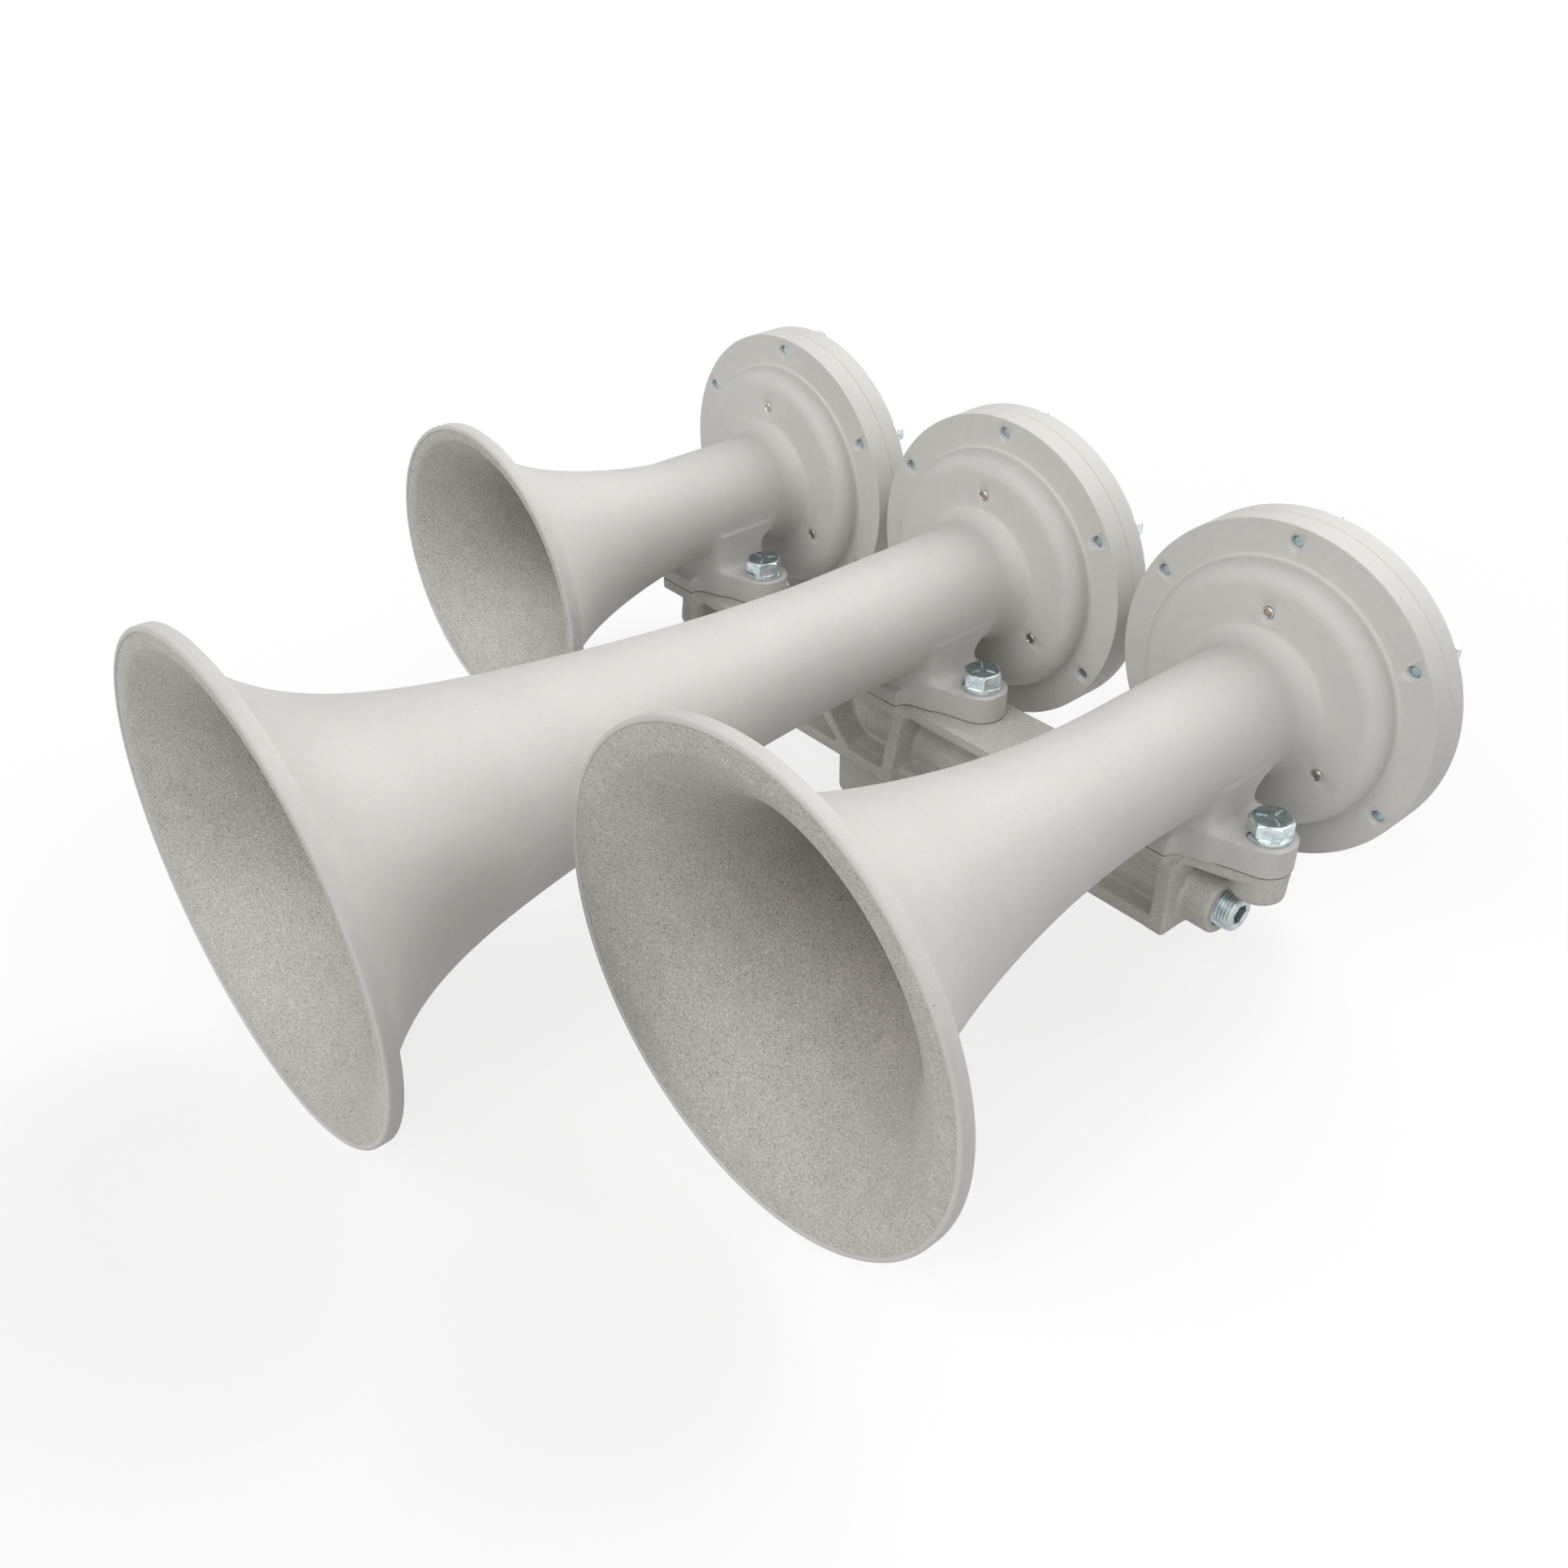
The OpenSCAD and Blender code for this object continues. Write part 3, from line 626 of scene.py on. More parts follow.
def supported(points, near=0.3, least=3.0):
    """Extra points close to the ends of long straight stretches, so that shading stays flat there."""
    out = []
    for (r0, z0), (r1, z1) in zip(points, points[1:] + points[:1]):
        out.append((r0, z0))
        run = math.hypot(r1 - r0, z1 - z0)
        if run > least:
            for t in (near / run, 1 - near / run):
                out.append((r0 + (r1 - r0) * t, z0 + (z1 - z0) * t))
    return out


# Sizes of the bell castings in millimetres, and the number of steps round a turned piece
RIM = 7.0
RIM_ROUND = 1.5
RIM_LAND = 1.25
LIP_ROUND = 1.0
WALL = 4.0
NECK_WALL = 5.0
DOME_ROUND = 10.0
DOME_FOOT = 2.0
NECK_FLARE = 18.0
NECK_TURN = 50.0
FOOT_SKIN = (24.5, 100.5)
UNDER = 0.2
TURN = 160
LIP_RINGS = [1.0, 2.0, 3.2, 4.4, 5.7]
THROAT = -8.5
THROAT_END = 68.3
BODY_HALF, BODY_BACK, BODY_HOOK = 30.0, 19.7, 8
LUG_HALF, LUG_FRONT, LUG_BACK = 15, 32.2, 14
FOOT_HOLE_R, AIR_R = 6.75, 7


def rear_outline(settings, bell):
    """Flange, dome and the first stretch of the neck, then the air space back to the flange."""
    row = settings.row
    disc, dome, high = row.disc / MM / 2, row.dome / MM / 2, row.dome_height / MM
    back, neck = -row.flange / MM, bell.neck / MM / 2
    inner = neck - NECK_WALL
    points = [(disc - 0.5, back)] + arc(disc - 0.5, back + 0.5, 0.5, 270, 360, 3)[1:]
    points += arc(disc - 0.5, -0.5, 0.5, 0, 90, 4)
    points += arc(dome + DOME_FOOT, DOME_FOOT, DOME_FOOT, 270, 180, 6)
    points += arc(dome - DOME_ROUND, high - DOME_ROUND, DOME_ROUND, 0, 90, 12)
    rise = NECK_FLARE * math.sin(math.radians(NECK_TURN))
    flare = arc(neck + NECK_FLARE, high + rise, NECK_FLARE, 180 + NECK_TURN, 180, 14)
    root = flare[0][0]
    points += [(root + 1.3, high), (root + 0.5, high + 0.1), (root - 0.15, high + 0.45)] + flare[1:]
    points += [(neck, FOOT_SKIN[0]), (neck - UNDER, FOOT_SKIN[0] + 0.05), (neck - UNDER, 40.0)]
    points += [(inner, 40.0), (inner, high - 5)]
    points += arc(dome - DOME_ROUND, high - DOME_ROUND, 5, 90, 0, 6)
    points += [(dome - 5, -7.0), (74.3, -7.0), (74.3, back)]
    return supported(points)


def bell_outline(bell):
    """Neck, flare, rim and sound passage, closed at the throat."""
    long_mm, neck, mouth = bell.length / MM, bell.neck / MM / 2, bell.mouth / MM / 2
    run = bell.flare / MM
    steps = [RIM + (run - RIM) * (i / 60) ** 1.5 for i in range(60, -1, -1)]
    outer = [(neck - NECK_WALL + 0.5, 38.0), (neck - UNDER, 38.0)]
    if long_mm - run > FOOT_SKIN[1]:
        outer += [(neck - UNDER, FOOT_SKIN[1] - 0.05), (neck, FOOT_SKIN[1])]
        outer += [(float(flare_radius(bell, d)), long_mm - d) for d in steps]
    else:
        for d in steps:
            z = long_mm - d
            low = UNDER if z < FOOT_SKIN[1] else 0.0
            if outer[-1][1] < FOOT_SKIN[1] <= z:
                at = float(flare_radius(bell, long_mm - FOOT_SKIN[1]))
                outer += [(at - UNDER, FOOT_SKIN[1] - 0.05), (at, FOOT_SKIN[1])]
            outer.append((float(flare_radius(bell, d)) - low, z))
    outer += arc(mouth - 0.6, long_mm - RIM + 0.6, 0.6, 270, 360, 3)
    outer += arc(mouth - RIM_ROUND, long_mm - RIM_ROUND, RIM_ROUND, 0, 90, 8)
    lip = mouth - RIM_ROUND - RIM_LAND
    outer += arc(lip + LIP_ROUND, long_mm - LIP_ROUND, LIP_ROUND, 90, 165, 6)
    first_inner = len(outer)
    inner = []
    for d in LIP_RINGS + steps[::-1]:
        h = 0.05
        m = float(flare_radius(bell, d + h) - flare_radius(bell, d - h)) / (2 * h)
        w = WALL / math.sqrt(1 + m * m)
        inner.append((float(flare_radius(bell, d)) - w, long_mm - d - w * m))
    inner = [p for p in inner if p[0] < lip - 0.3 and p[1] < long_mm - LIP_ROUND]
    tube = neck - NECK_WALL - 4
    inner += [(tube - 3.5, THROAT_END), (10.0, THROAT + 8), (9.5, THROAT), (13.0, THROAT)]
    inner += [(13.5, THROAT + 8), (tube, THROAT_END), (neck - NECK_WALL, THROAT_END)]
    inner.append((neck - NECK_WALL + 0.5, 40.0))
    return outer + inner, first_inner


def foot_field(settings, name):
    """Distance field of the foot, its pedestal and the neck above it, around the horn's own x."""
    row, foot, bell = settings.row, settings.foot, getattr(settings, name)
    high, set_back, shift = row.axis_height / MM, row.set_back / MM, foot.shift / MM
    bottom = foot.seam / MM + foot.gasket / MM / 2
    top = bottom + foot.thick / MM
    middle_r, ear_r, reach = foot.middle / MM / 2, foot.ear / MM / 2, foot.span / MM / 2
    long_mm = bell.length / MM

    def field(x, y, z):
        v = y - shift
        forward = set_back - y
        radius = flare_radius(bell, long_mm - forward)
        past = np.abs(forward - sum(FOOT_SKIN) / 2) - (FOOT_SKIN[1] - FOOT_SKIN[0]) / 2
        dip = 0.05 * np.clip(past + 1.0, 0, 1)
        rho = np.hypot(x, z - high)
        neck = rho - radius + dip
        outline = two_ears(x, v, middle_r, ear_r, reach)
        ears = prism(outline, z, bottom - 6, top, 0.8)
        hook = np.clip(z - (high - 26), 0, BODY_HOOK)
        back = BODY_BACK + BODY_HOOK - np.sqrt(np.maximum(BODY_HOOK ** 2 - hook * hook, 0.0))
        body = np.minimum(outline, np.maximum(np.abs(x) - BODY_HALF, -v))
        body = soft_max(soft_max(body, np.abs(x) - BODY_HALF, 5.0), y - back, 2.5)
        body = np.maximum(body, z - high + 12)
        lug = block(x, y, z, (-LUG_HALF, shift - LUG_FRONT, bottom - 6),
                    (LUG_HALF, shift - LUG_BACK, bottom + 8.3), 1.5)
        ears = soft_min(ears, lug, 6.0)
        solid = soft_min(ears, body, 8.0)
        solid = soft_min(neck, solid, 6.0)
        solid = np.maximum(solid, bottom - z)
        for s in (-1, 1):
            solid = np.maximum(solid, FOOT_HOLE_R - np.hypot(x - s * reach, v))
        solid = np.maximum(solid, AIR_R - np.hypot(x, v) - np.maximum(z - high + 20, 0))
        solid = np.maximum(solid, radius - 2.5 - rho)
        return np.maximum(solid, past - 3.0)

    return field


# Number of cover screws and dome plugs, angle of the first in degrees, and profiles of their holes
SCREWS, FIRST_SCREW = 6, 30
PLUGS, FIRST_PLUG = 3, 90
SCREW_HOLE = [(0, -15), (3.4, -15), (3.4, -0.3), (3.7, 0), (3.7, 2), (0, 2)]
PLUG_HOLE = [(0, 6), (3.25, 6), (3.25, 13.3), (3.45, 13.5), (3.45, 16), (0, 16)]


def drilled_rear(settings, name):
    """Rear part of a bell casting with its screw holes and plug holes."""
    row = settings.row
    verts, faces = turned(rear_outline(settings, getattr(settings, name)), TURN)
    rear = piece(name + "_rear", verts, outward(verts, faces), [])
    cutters = []
    for profile, spots in ((SCREW_HOLE, spaced(SCREWS, FIRST_SCREW, row.screw_circle)),
                           (PLUG_HOLE, spaced(PLUGS, FIRST_PLUG, row.plug_circle))):
        verts, faces = turned_solid(profile, 32)
        cutters += [(placed(verts, x, y, 0), faces) for x, y in spots]
    cut_by(rear, *joined(*cutters)[:2])
    places = np.zeros(len(rear.data.vertices) * 3)
    rear.data.vertices.foreach_get("co", places)
    faces = [tuple(p.vertices) for p in rear.data.polygons]
    bpy.data.objects.remove(rear)
    return places.reshape(-1, 3) / MM, faces


class AIRHORN_OT_bells(bpy.types.Operator):
    """Build the three bell castings with their flanges, domes and feet"""
    bl_idname = "airhorn.bells"
    bl_label = "Bell Castings"

    def execute(self, context):
        settings = context.scene.air_horn
        row, foot = settings.row, settings.foot
        step = 1.2
        alloy = alloy_material("blasted_alloy", settings)
        for name in HORNS:
            bell = getattr(settings, name)
            rear_v, rear_f = drilled_rear(settings, name)
            points, first_inner = bell_outline(bell)
            bell_v, bell_f = turned(points, TURN)
            bell_f = outward(bell_v, bell_f)
            lo = (-66, -41, foot.seam / MM - 1)
            hi = (66, 45, row.axis_height / MM + bell.neck / MM / 2 + 4)
            foot_v, foot_f = skin(foot_field(settings, name), lo, hi, step)
            foot_v = foot_v + np.array((horn_x(settings, name), 0, 0))

            verts, faces, _ = joined((on_axis(settings, name, rear_v), rear_f),
                                     (on_axis(settings, name, bell_v), bell_f), (foot_v, foot_f))
            outside = (first_inner - 1) * TURN
            slots = [0] * (len(rear_f) + outside) + [1] * (len(bell_f) - outside) + [0] * len(foot_f)
            # The inside is painted darker towards the throat: painted shade, with some real discoloration
            inside = alloy_material(name + "_bell_inside", settings, (0.87, 0.855, 0.84), speckle=1.3,
                                    flecks=0.75, mottle=0.24, pits=0.12, bump=0.00014, grain=0.0009,
                                    deep=(row.set_back - bell.length, 0.16))
            piece(name + "_bell_casting", verts, faces, [alloy, inside], slots, 50,
                  name + "_bell")
        return {"FINISHED"}


# Angle in degrees above which an edge of a back cover stays sharp
COVER_SHARP = 40


class AIRHORN_OT_covers(bpy.types.Operator):
    """Build the three back covers"""
    bl_idname = "airhorn.covers"
    bl_label = "Back Covers"

    def execute(self, context):
        settings = context.scene.air_horn
        row = settings.row
        disc, thick, front = row.disc / MM / 2, row.cover / MM, -row.flange / MM
        back = front - thick
        points = [(0, back + 2), (41, back + 2), (42, back + 1.6), (43.4, back + 0.3), (44.4, back)]
        points += [(disc - 3.2, back)] + arc(disc - 3.2, back + 3.2, 3.2, 270, 360, 8)[1:]
        points += arc(disc - 0.5, front - 0.5, 0.5, 0, 90, 3)
        points += [(64, front), (61, front - 6), (0, front - 6)]
        disc_v, disc_f = turned_solid(supported(points[:-1]) + [points[-1]], TURN)
        hole_v, hole_f = turned_solid([(0, back - 3), (7.5, back - 3), (7.5, back + 0.5), (3.4, back + 0.5),
                                       (3.4, front + 2), (0, front + 2)], 32)
        alloy = bpy.data.materials["blasted_alloy"]
        for name in HORNS:
            obj = piece(name + "_back_cover", on_axis(settings, name, disc_v), disc_f, [alloy], None,
                        COVER_SHARP, name + "_cover")
            cutters = [(on_axis(settings, name, hole_v, x, y), hole_f)
                       for x, y in spaced(SCREWS, FIRST_SCREW, row.screw_circle)]
            cut_by(obj, *joined(*cutters)[:2])
            obj.data.set_sharp_from_angle(angle=math.radians(COVER_SHARP))
        return {"FINISHED"}


# Bolts, screws and washers

# Rounding of the edges of a hexagonal head in millimetres
HEAD_ROUND = 0.35


def hex_distance(x, y, flats, first):
    """Distance to a hexagon whose flats face the angle first and every 60 degrees on."""
    return np.maximum.reduce([np.abs(x * math.cos(a) + y * math.sin(a)) - flats / 2
                              for a in np.radians((first, first + 60, first + 120))])


def hex_field(flats, height, marks=0):
    """Hexagonal head on z = 0 with turned corners and, if asked for, raised strength lines."""
    def field(x, y, z):
        rho = np.hypot(x, y)
        cone = (rho - flats * 0.475) * 0.5 + (z - height) * 0.866
        under = (rho - flats * 0.53) * 0.5 - (z + 0.1) * 0.866
        head = soft_max(hex_distance(x, y, flats, 0), np.maximum(z - height, -z), HEAD_ROUND)
        head = soft_max(soft_max(head, cone, HEAD_ROUND), under, HEAD_ROUND)
        for i in range(marks):
            a = math.radians(90 + 360 * i / marks)
            u, v = x * math.cos(a) + y * math.sin(a), -x * math.sin(a) + y * math.cos(a)
            line = np.maximum(np.abs(v) - 0.5, np.abs(u - flats * 0.26) - flats * 0.13)
            head = soft_min(head, np.maximum(line, np.abs(z - height) - 0.4), 0.25)
        return head
    return field


def painted_shade_top_slots(verts, faces, height):
    """Slot 1 for the flat top of a head, which gets a darker zinc as painted shade; slot 0, the plain zinc,
    for its sides and for the raised lines.
    """
    corners = np.asarray(verts)[np.asarray(faces)]
    normal = np.cross(corners[:, 2] - corners[:, 0], corners[:, 3] - corners[:, 1])
    normal = normal / np.maximum(np.linalg.norm(normal, axis=1), 1e-9)[:, None]
    level = corners[:, :, 2].mean(1)
    flat = (normal[:, 2] > 0.93) & (level > height - 0.5) & (level < height + 0.12)
    return [int(v) for v in flat]


def split_ring(inner, outer, thick, gap=1.2):
    """Split lock washer whose two ends stand a little apart."""
    steps = 72
    half = gap / (inner + outer)
    soft = 0.2 * thick
    low = [(inner, 0.15), (inner + 0.15, 0), (outer - soft, 0), (outer - 0.3 * soft, 0.3 * soft),
           (outer, soft)]
    section = low + [(r, thick - z) for r, z in reversed(low)]
    verts, faces = [], []
    for s in range(steps + 1):
        t = s / steps
        a = half + t * (2 * math.pi - 2 * half)
        verts += [(r * math.cos(a), r * math.sin(a), z) for r, z in section]
    count = len(section)
    for s in range(steps):
        for k in range(count):
            m = (k + 1) % count
            faces.append((s * count + k, (s + 1) * count + k, (s + 1) * count + m, s * count + m))
    faces.append(tuple(range(count)))
    faces.append(tuple(steps * count + k for k in reversed(range(count))))
    verts = np.array(verts)
    return verts, outward(verts, faces)


# Turn of each foot bolt in degrees, left (-1) and right (1) of its horn
BOLT_TURNS = {("short", -1): 20, ("short", 1): -24, ("long", -1): 33, ("long", 1): -71,
              ("medium", -1): 50, ("medium", 1): -2}


def about(axis, radians):
    return Matrix.Rotation(radians, 4, axis)


class AIRHORN_OT_foot_bolts(bpy.types.Operator):
    """Build the foot bolts and their split lock washers"""
    bl_idname = "airhorn.foot_bolts"
    bl_label = "Foot Bolts"

    def execute(self, context):
        settings = context.scene.air_horn
        foot = settings.foot
        zinc = plated_material("zinc_plate", settings.finish.zinc)
        # The flat head tops get the darker zinc as painted shade
        painted_shade_top = plated_material("zinc_top_painted_shade", settings.finish.zinc_top_painted_shade, 0.35)
        high, thick = foot.bolt_head / MM, foot.washer / MM
        step = 0.4
        head = skin(hex_field(foot.bolt_flats / MM, high, 3), (-12, -12, -0.6), (12, 12, high + 1), step)
        shank = turned_solid([(0, 0.2), (6.3, 0.2), (6.3, -30.7), (5.3, -31.7), (0, -31.7)], 40)
        bolt_slots = painted_shade_top_slots(head[0], head[1], high) + [0] * len(shank[1])
        ring_v, ring_f = split_ring(6.75, 11.0, thick)
        ear_top = (foot.seam + foot.gasket / 2 + foot.thick) / MM
        for name in HORNS:
            bolts, washers = [], []
            for side in (-1, 1):
                x, y = horn_x(settings, name) + side * foot.span / MM / 2, foot.shift / MM
                turn = about("Z", math.radians(BOLT_TURNS[(name, side)]))
                bolts += [(placed(v, x, y, ear_top + thick, turn), f) for v, f in (head, shank)]
                spin = about("Z", math.radians(200 + 40 * side))
                washers.append((placed(ring_v, x, y, ear_top, spin), ring_f))
            v, f, _ = joined(*bolts)
            piece(name + "_hex_bolts", v, f, [zinc, painted_shade_top], bolt_slots * 2, 30,
                  name + "_foot_bolts")
            v, f, _ = joined(*washers)
            piece(name + "_split_washers", v, f, [zinc], None, 30, name + "_foot_washers")
        return {"FINISHED"}


class AIRHORN_OT_cover_screws(bpy.types.Operator):
    """Build the cover screws and their lock washers"""
    bl_idname = "airhorn.cover_screws"
    bl_label = "Cover Screws"

    def execute(self, context):
        settings = context.scene.air_horn
        row = settings.row
        zinc = bpy.data.materials["zinc_plate"]
        ends = plated_material("screw_ends", (0.50, 0.62, 0.66), 0.36)
        thick = 1.6
        back = -(row.flange + row.cover) / MM
        seat = back - thick
        end = seat + 26.2
        step = 0.45
        head_v, head_f = skin(hex_field(11.1, 4.0), (-7, -7, -0.6), (7, 7, 5), step)
        shank_v, shank_f = turned_solid([(0, back - 1.7), (3.15, back - 1.7), (3.15, end - 0.9),
                                         (2.3, end - 0.1), (1.6, end), (0, end)], 32)
        ring_v, ring_f = split_ring(3.45, 5.85, thick, 1.0)
        for name in HORNS:
            screws, washers = [], []
            for i, (x, y) in enumerate(spaced(SCREWS, FIRST_SCREW, row.screw_circle)):
                turn = about("Z", math.radians(17 * i + 5)) @ about("X", math.pi)
                screws.append((on_axis(settings, name, head_v, x, y, seat, turn), head_f))
                screws.append((on_axis(settings, name, shank_v, x, y), shank_f))
                washers.append((on_axis(settings, name, ring_v, x, y, seat, about("Z", 1.1 * i)), ring_f))
            v, f, part = joined(*screws)
            piece(name + "_hex_screws", v, f, [zinc, ends], [p % 2 for p in part], 30,
                  name + "_cover_screws")
            v, f, _ = joined(*washers)
            piece(name + "_screw_washers", v, f, [zinc], None, 30, name + "_cover_washers")
        return {"FINISHED"}


class AIRHORN_OT_dome_plugs(bpy.types.Operator):
    """Build the bright plugs in the domes"""
    bl_idname = "airhorn.dome_plugs"
    bl_label = "Dome Plugs"

    def execute(self, context):
        settings = context.scene.air_horn
        row = settings.row
        bright = plated_material("plug_metal", settings.finish.plug, 0.2)
        copper = plated_material("plug_centre", settings.finish.plug_centre, 0.3)
        high = row.dome_height / MM
        rim = [(0, high - 5), (2.7, high - 5), (3.0, high - 4.7), (3.0, high + 0.2)]
        rim += arc(2.65, high + 0.2, 0.35, 0, 90, 4)[1:]
        rim += [(2.35, high + 0.5), (2.15, high + 0.2), (2.1, high - 0.3), (0, high - 0.3)]
        middle = [(0, high - 0.4), (1.95, high - 0.4), (1.95, high + 0.2)]
        middle += [(1.95 * math.cos(t), high + 0.2 + 0.35 * math.sin(t)) for t in np.linspace(0.2, 1.4, 6)]
        middle += [(0, high + 0.56)]
        parts = (turned_solid(rim, 36), turned_solid(middle, 36))
        for name in HORNS:
            plugs = [(on_axis(settings, name, v, x, y), f)
                     for x, y in spaced(PLUGS, FIRST_PLUG, row.plug_circle) for v, f in parts]
            v, f, part = joined(*plugs)
            piece(name + "_plugs", v, f, [bright, copper], [p % 2 for p in part], 40,
                  name + "_dome_plugs")
        return {"FINISHED"}


# Manifold

# Places and sizes of the manifold in millimetres
TUBE_Z, TUBE_R = 48.0, 15.5
PAST_LEFT, PAST_RIGHT = 12, 36
GALLERY_R = 10
SOCKET_R, SOCKET_DEEP = 10.9, 15
PLATE = 7
FLOOR_LOW, FLOOR_TOP = 32, 40
BASE_X, BASE_Y, BASE_ROUND = 33, 25.5, 8.0
TAP_R, TAP_LOW = 6.4, 65.1
INLET_R, INLET_TOP = 12, 18
MOUNT_X, MOUNT_Y, MOUNT_R, MOUNT_DEEP = 24, 17, 4.75, 20


def bore(x, y, r, depth):
    """Distance to a round hole, where depth is the distance to its end."""
    return np.maximum(np.hypot(x, y) - r, depth)


def manifold_field(settings):
    """Distance field of the manifold casting with its base block."""
    row, foot = settings.row, settings.foot
    pitch = row.pitch / MM
    top = foot.seam / MM - foot.gasket / MM / 2
    plate, over = top - PLATE, top + 4
    shift, reach = foot.shift / MM, foot.span / MM / 2
    middle_r, ear_r = foot.middle / MM / 2 - 0.7, foot.ear / MM / 2
    stations = (-pitch, 0.0, pitch)
    left, right = -pitch - PAST_LEFT, pitch + PAST_RIGHT

    def top_parts(x, y, z):
        """Pads, lugs and bolt bosses under the feet, with the plate that joins them."""
        pads = []
        for s in stations:
            u, v = x - s, y - shift
            pad = prism(two_ears(u, v, middle_r, ear_r - 0.7, reach), z, plate, over, 1.5)
            lug_left = -3.0 if s == pitch else -LUG_HALF
            lug = block(u, y, z, (lug_left, shift - LUG_FRONT, plate),
                        (LUG_HALF, shift - LUG_BACK, over), 1.5)
            pads.append(soft_min(pad, lug, 5.0))
            for side in (-1, 1):
                boss = np.hypot(u - side * reach, v) - ear_r + 0.7 + 0.035 * (top - z)
                pads.append(prism(boss, z, 62, over, 2.5))
        joining = block(x, y, z, (-pitch, -22.5, plate), (pitch, 22.5, over), 1.5)
        return np.maximum(soft_min(np.minimum.reduce(pads), joining, 3.0), z - top)

    def wall_parts(x, y, z):
        """Air tube, upright web and the riser blocks between tube and plate."""
        tube = prism(np.hypot(y, z - TUBE_Z) - TUBE_R, x, left, right, 2.0)
        wall = soft_min(tube, block(x, y, z, (left + 4, -8, 36), (pitch + 15, -2, 77), 1.0), 4.0)
        for s in stations:
            wall = soft_min(wall, block(x - s, y, z, (-12, -14.9, TUBE_Z), (12, 14.9, 76), 1.5), 4.0)
        return wall

    def low_parts(x, y, z):
        """Floor, front shelf and base block."""
        floor = block(x, y, z, (left + 4, -BASE_Y, FLOOR_LOW), (pitch + 19, 22.5, FLOOR_TOP), 1.2)
        shelf = block(x, y, z, (-63, -33.5, FLOOR_LOW), (19, 0, FLOOR_TOP), 1.2)
        base = block(x, y, z, (-BASE_X, -BASE_Y, -10), (BASE_X, BASE_Y, FLOOR_TOP), 2.0)
        across = np.maximum(np.abs(x) - BASE_X + BASE_ROUND, 0)
        corner = np.hypot(across, np.maximum(BASE_ROUND - z, 0)) - BASE_ROUND
        base = np.maximum(soft_max(base, corner, 0.5), -z)
        return soft_min(soft_min(floor, shelf, 1.5), base, 2.0)

    def with_ribs(body, x, y, z):
        """A rib under each lug and the leaning strut on the left."""
        for s, lean in ((-pitch, 0.0), (0.0, 8.0), (pitch, 0.0)):
            front = -26.0 - lean * np.clip((plate - z) / (plate - FLOOR_TOP), 0, 1)
            rib = soft_max(np.abs(x - s - 15) - 4, np.maximum(front - y, y + 5), 1.5)
            body = soft_min(body, np.maximum(rib, np.maximum(34 - z, z - plate - 3)), 3.0)
        strut = segment(x, z, (-18.0, 36.0), (-57.0, 76.0)) - 3.0
        return soft_min(body, soft_max(strut, np.maximum(-33.0 - y, y + 5), 1.2), 2.5)

    def holes(x, y, z):
        """Air passages, tapped holes and the holes in the underside."""
        cuts = [bore(y, z - TUBE_Z, GALLERY_R, left + 8 - x),
                bore(y, z - TUBE_Z, SOCKET_R, right - SOCKET_DEEP - x)]
        for s in stations:
            cuts.append(bore(x - s, y - shift, AIR_R, TUBE_Z - z))
            cuts += [bore(x - s - side * reach, y - shift, TAP_R, TAP_LOW - z) for side in (-1, 1)]
        cuts += [bore(x, y, INLET_R, z - INLET_TOP), bore(x, y, 9, z - TUBE_Z)]
        cuts += [bore(x - mx, y - my, MOUNT_R, z - MOUNT_DEEP)
                 for mx in (-MOUNT_X, MOUNT_X) for my in (-MOUNT_Y, MOUNT_Y)]
        return np.minimum.reduce(cuts)

    def field(x, y, z):
        body = soft_min(top_parts(x, y, z), wall_parts(x, y, z), 3.0)
        body = with_ribs(soft_min(body, low_parts(x, y, z), 3.0), x, y, z)
        return np.maximum(body, -holes(x, y, z))

    return field


class AIRHORN_OT_manifold(bpy.types.Operator):
    """Build the manifold casting with its base block"""
    bl_idname = "airhorn.manifold"
    bl_label = "Manifold"

    def execute(self, context):
        settings = context.scene.air_horn
        step = 1.5
        pitch, foot = settings.row.pitch / MM, settings.foot
        reach = foot.span / MM / 2 + foot.ear / MM / 2
        v, f = skin(manifold_field(settings), (-pitch - reach - 2, -37, -2),
                    (pitch + reach + 2, 34, foot.seam / MM + 2), step)
        rough = alloy_material("sand_cast_alloy", settings, (0.98, 0.965, 0.935), speckle=0.8, flecks=0.45,
                               mottle=0.18, pits=0.08, bump=0.00016, grain=0.0008)
        piece("manifold_casting", v, f, [rough], None, 50, "manifold")
        return {"FINISHED"}


class AIRHORN_OT_end_plug(bpy.types.Operator):
    """Build the threaded plug in the end of the manifold"""
    bl_idname = "airhorn.end_plug"
    bl_label = "End Plug"

    def execute(self, context):
        settings = context.scene.air_horn
        at = settings.row.pitch / MM + PAST_RIGHT
        show, deep, lead, socket_flats = 9.0, 13, 1.8, 9.5

        def field(x, y, z):
            rho, t = np.hypot(x, y), np.arctan2(y, x)
            wave = np.abs(((z / lead - t / (2 * math.pi)) % 1.0) - 0.5) * 2
            outer = (rho - 9.75 - 0.9 * wave + 0.03 * (z + deep)) * 0.75
            plug = soft_max(outer, np.maximum(z - show, -deep - z), 0.5)
            plug = soft_max(plug, (rho - 8.7) * 0.707 + (z - show) * 0.707, 0.3)
            socket = hex_distance(x, y, socket_flats, 15)
            return soft_max(plug, -np.maximum(socket, 1.0 - z), 0.3)

        v, f = skin(field, (-11.5, -11.5, -13.6), (11.5, 11.5, show + 0.8), 0.4)
        v = np.stack([v[:, 2] + at, v[:, 0], v[:, 1] + TUBE_Z], 1)
        steel = plated_material("plug_steel", [c * 0.75 for c in settings.finish.zinc], 0.42)
        piece("threaded_end_plug", v, f, [steel], None, 35, "end_plug")
        return {"FINISHED"}


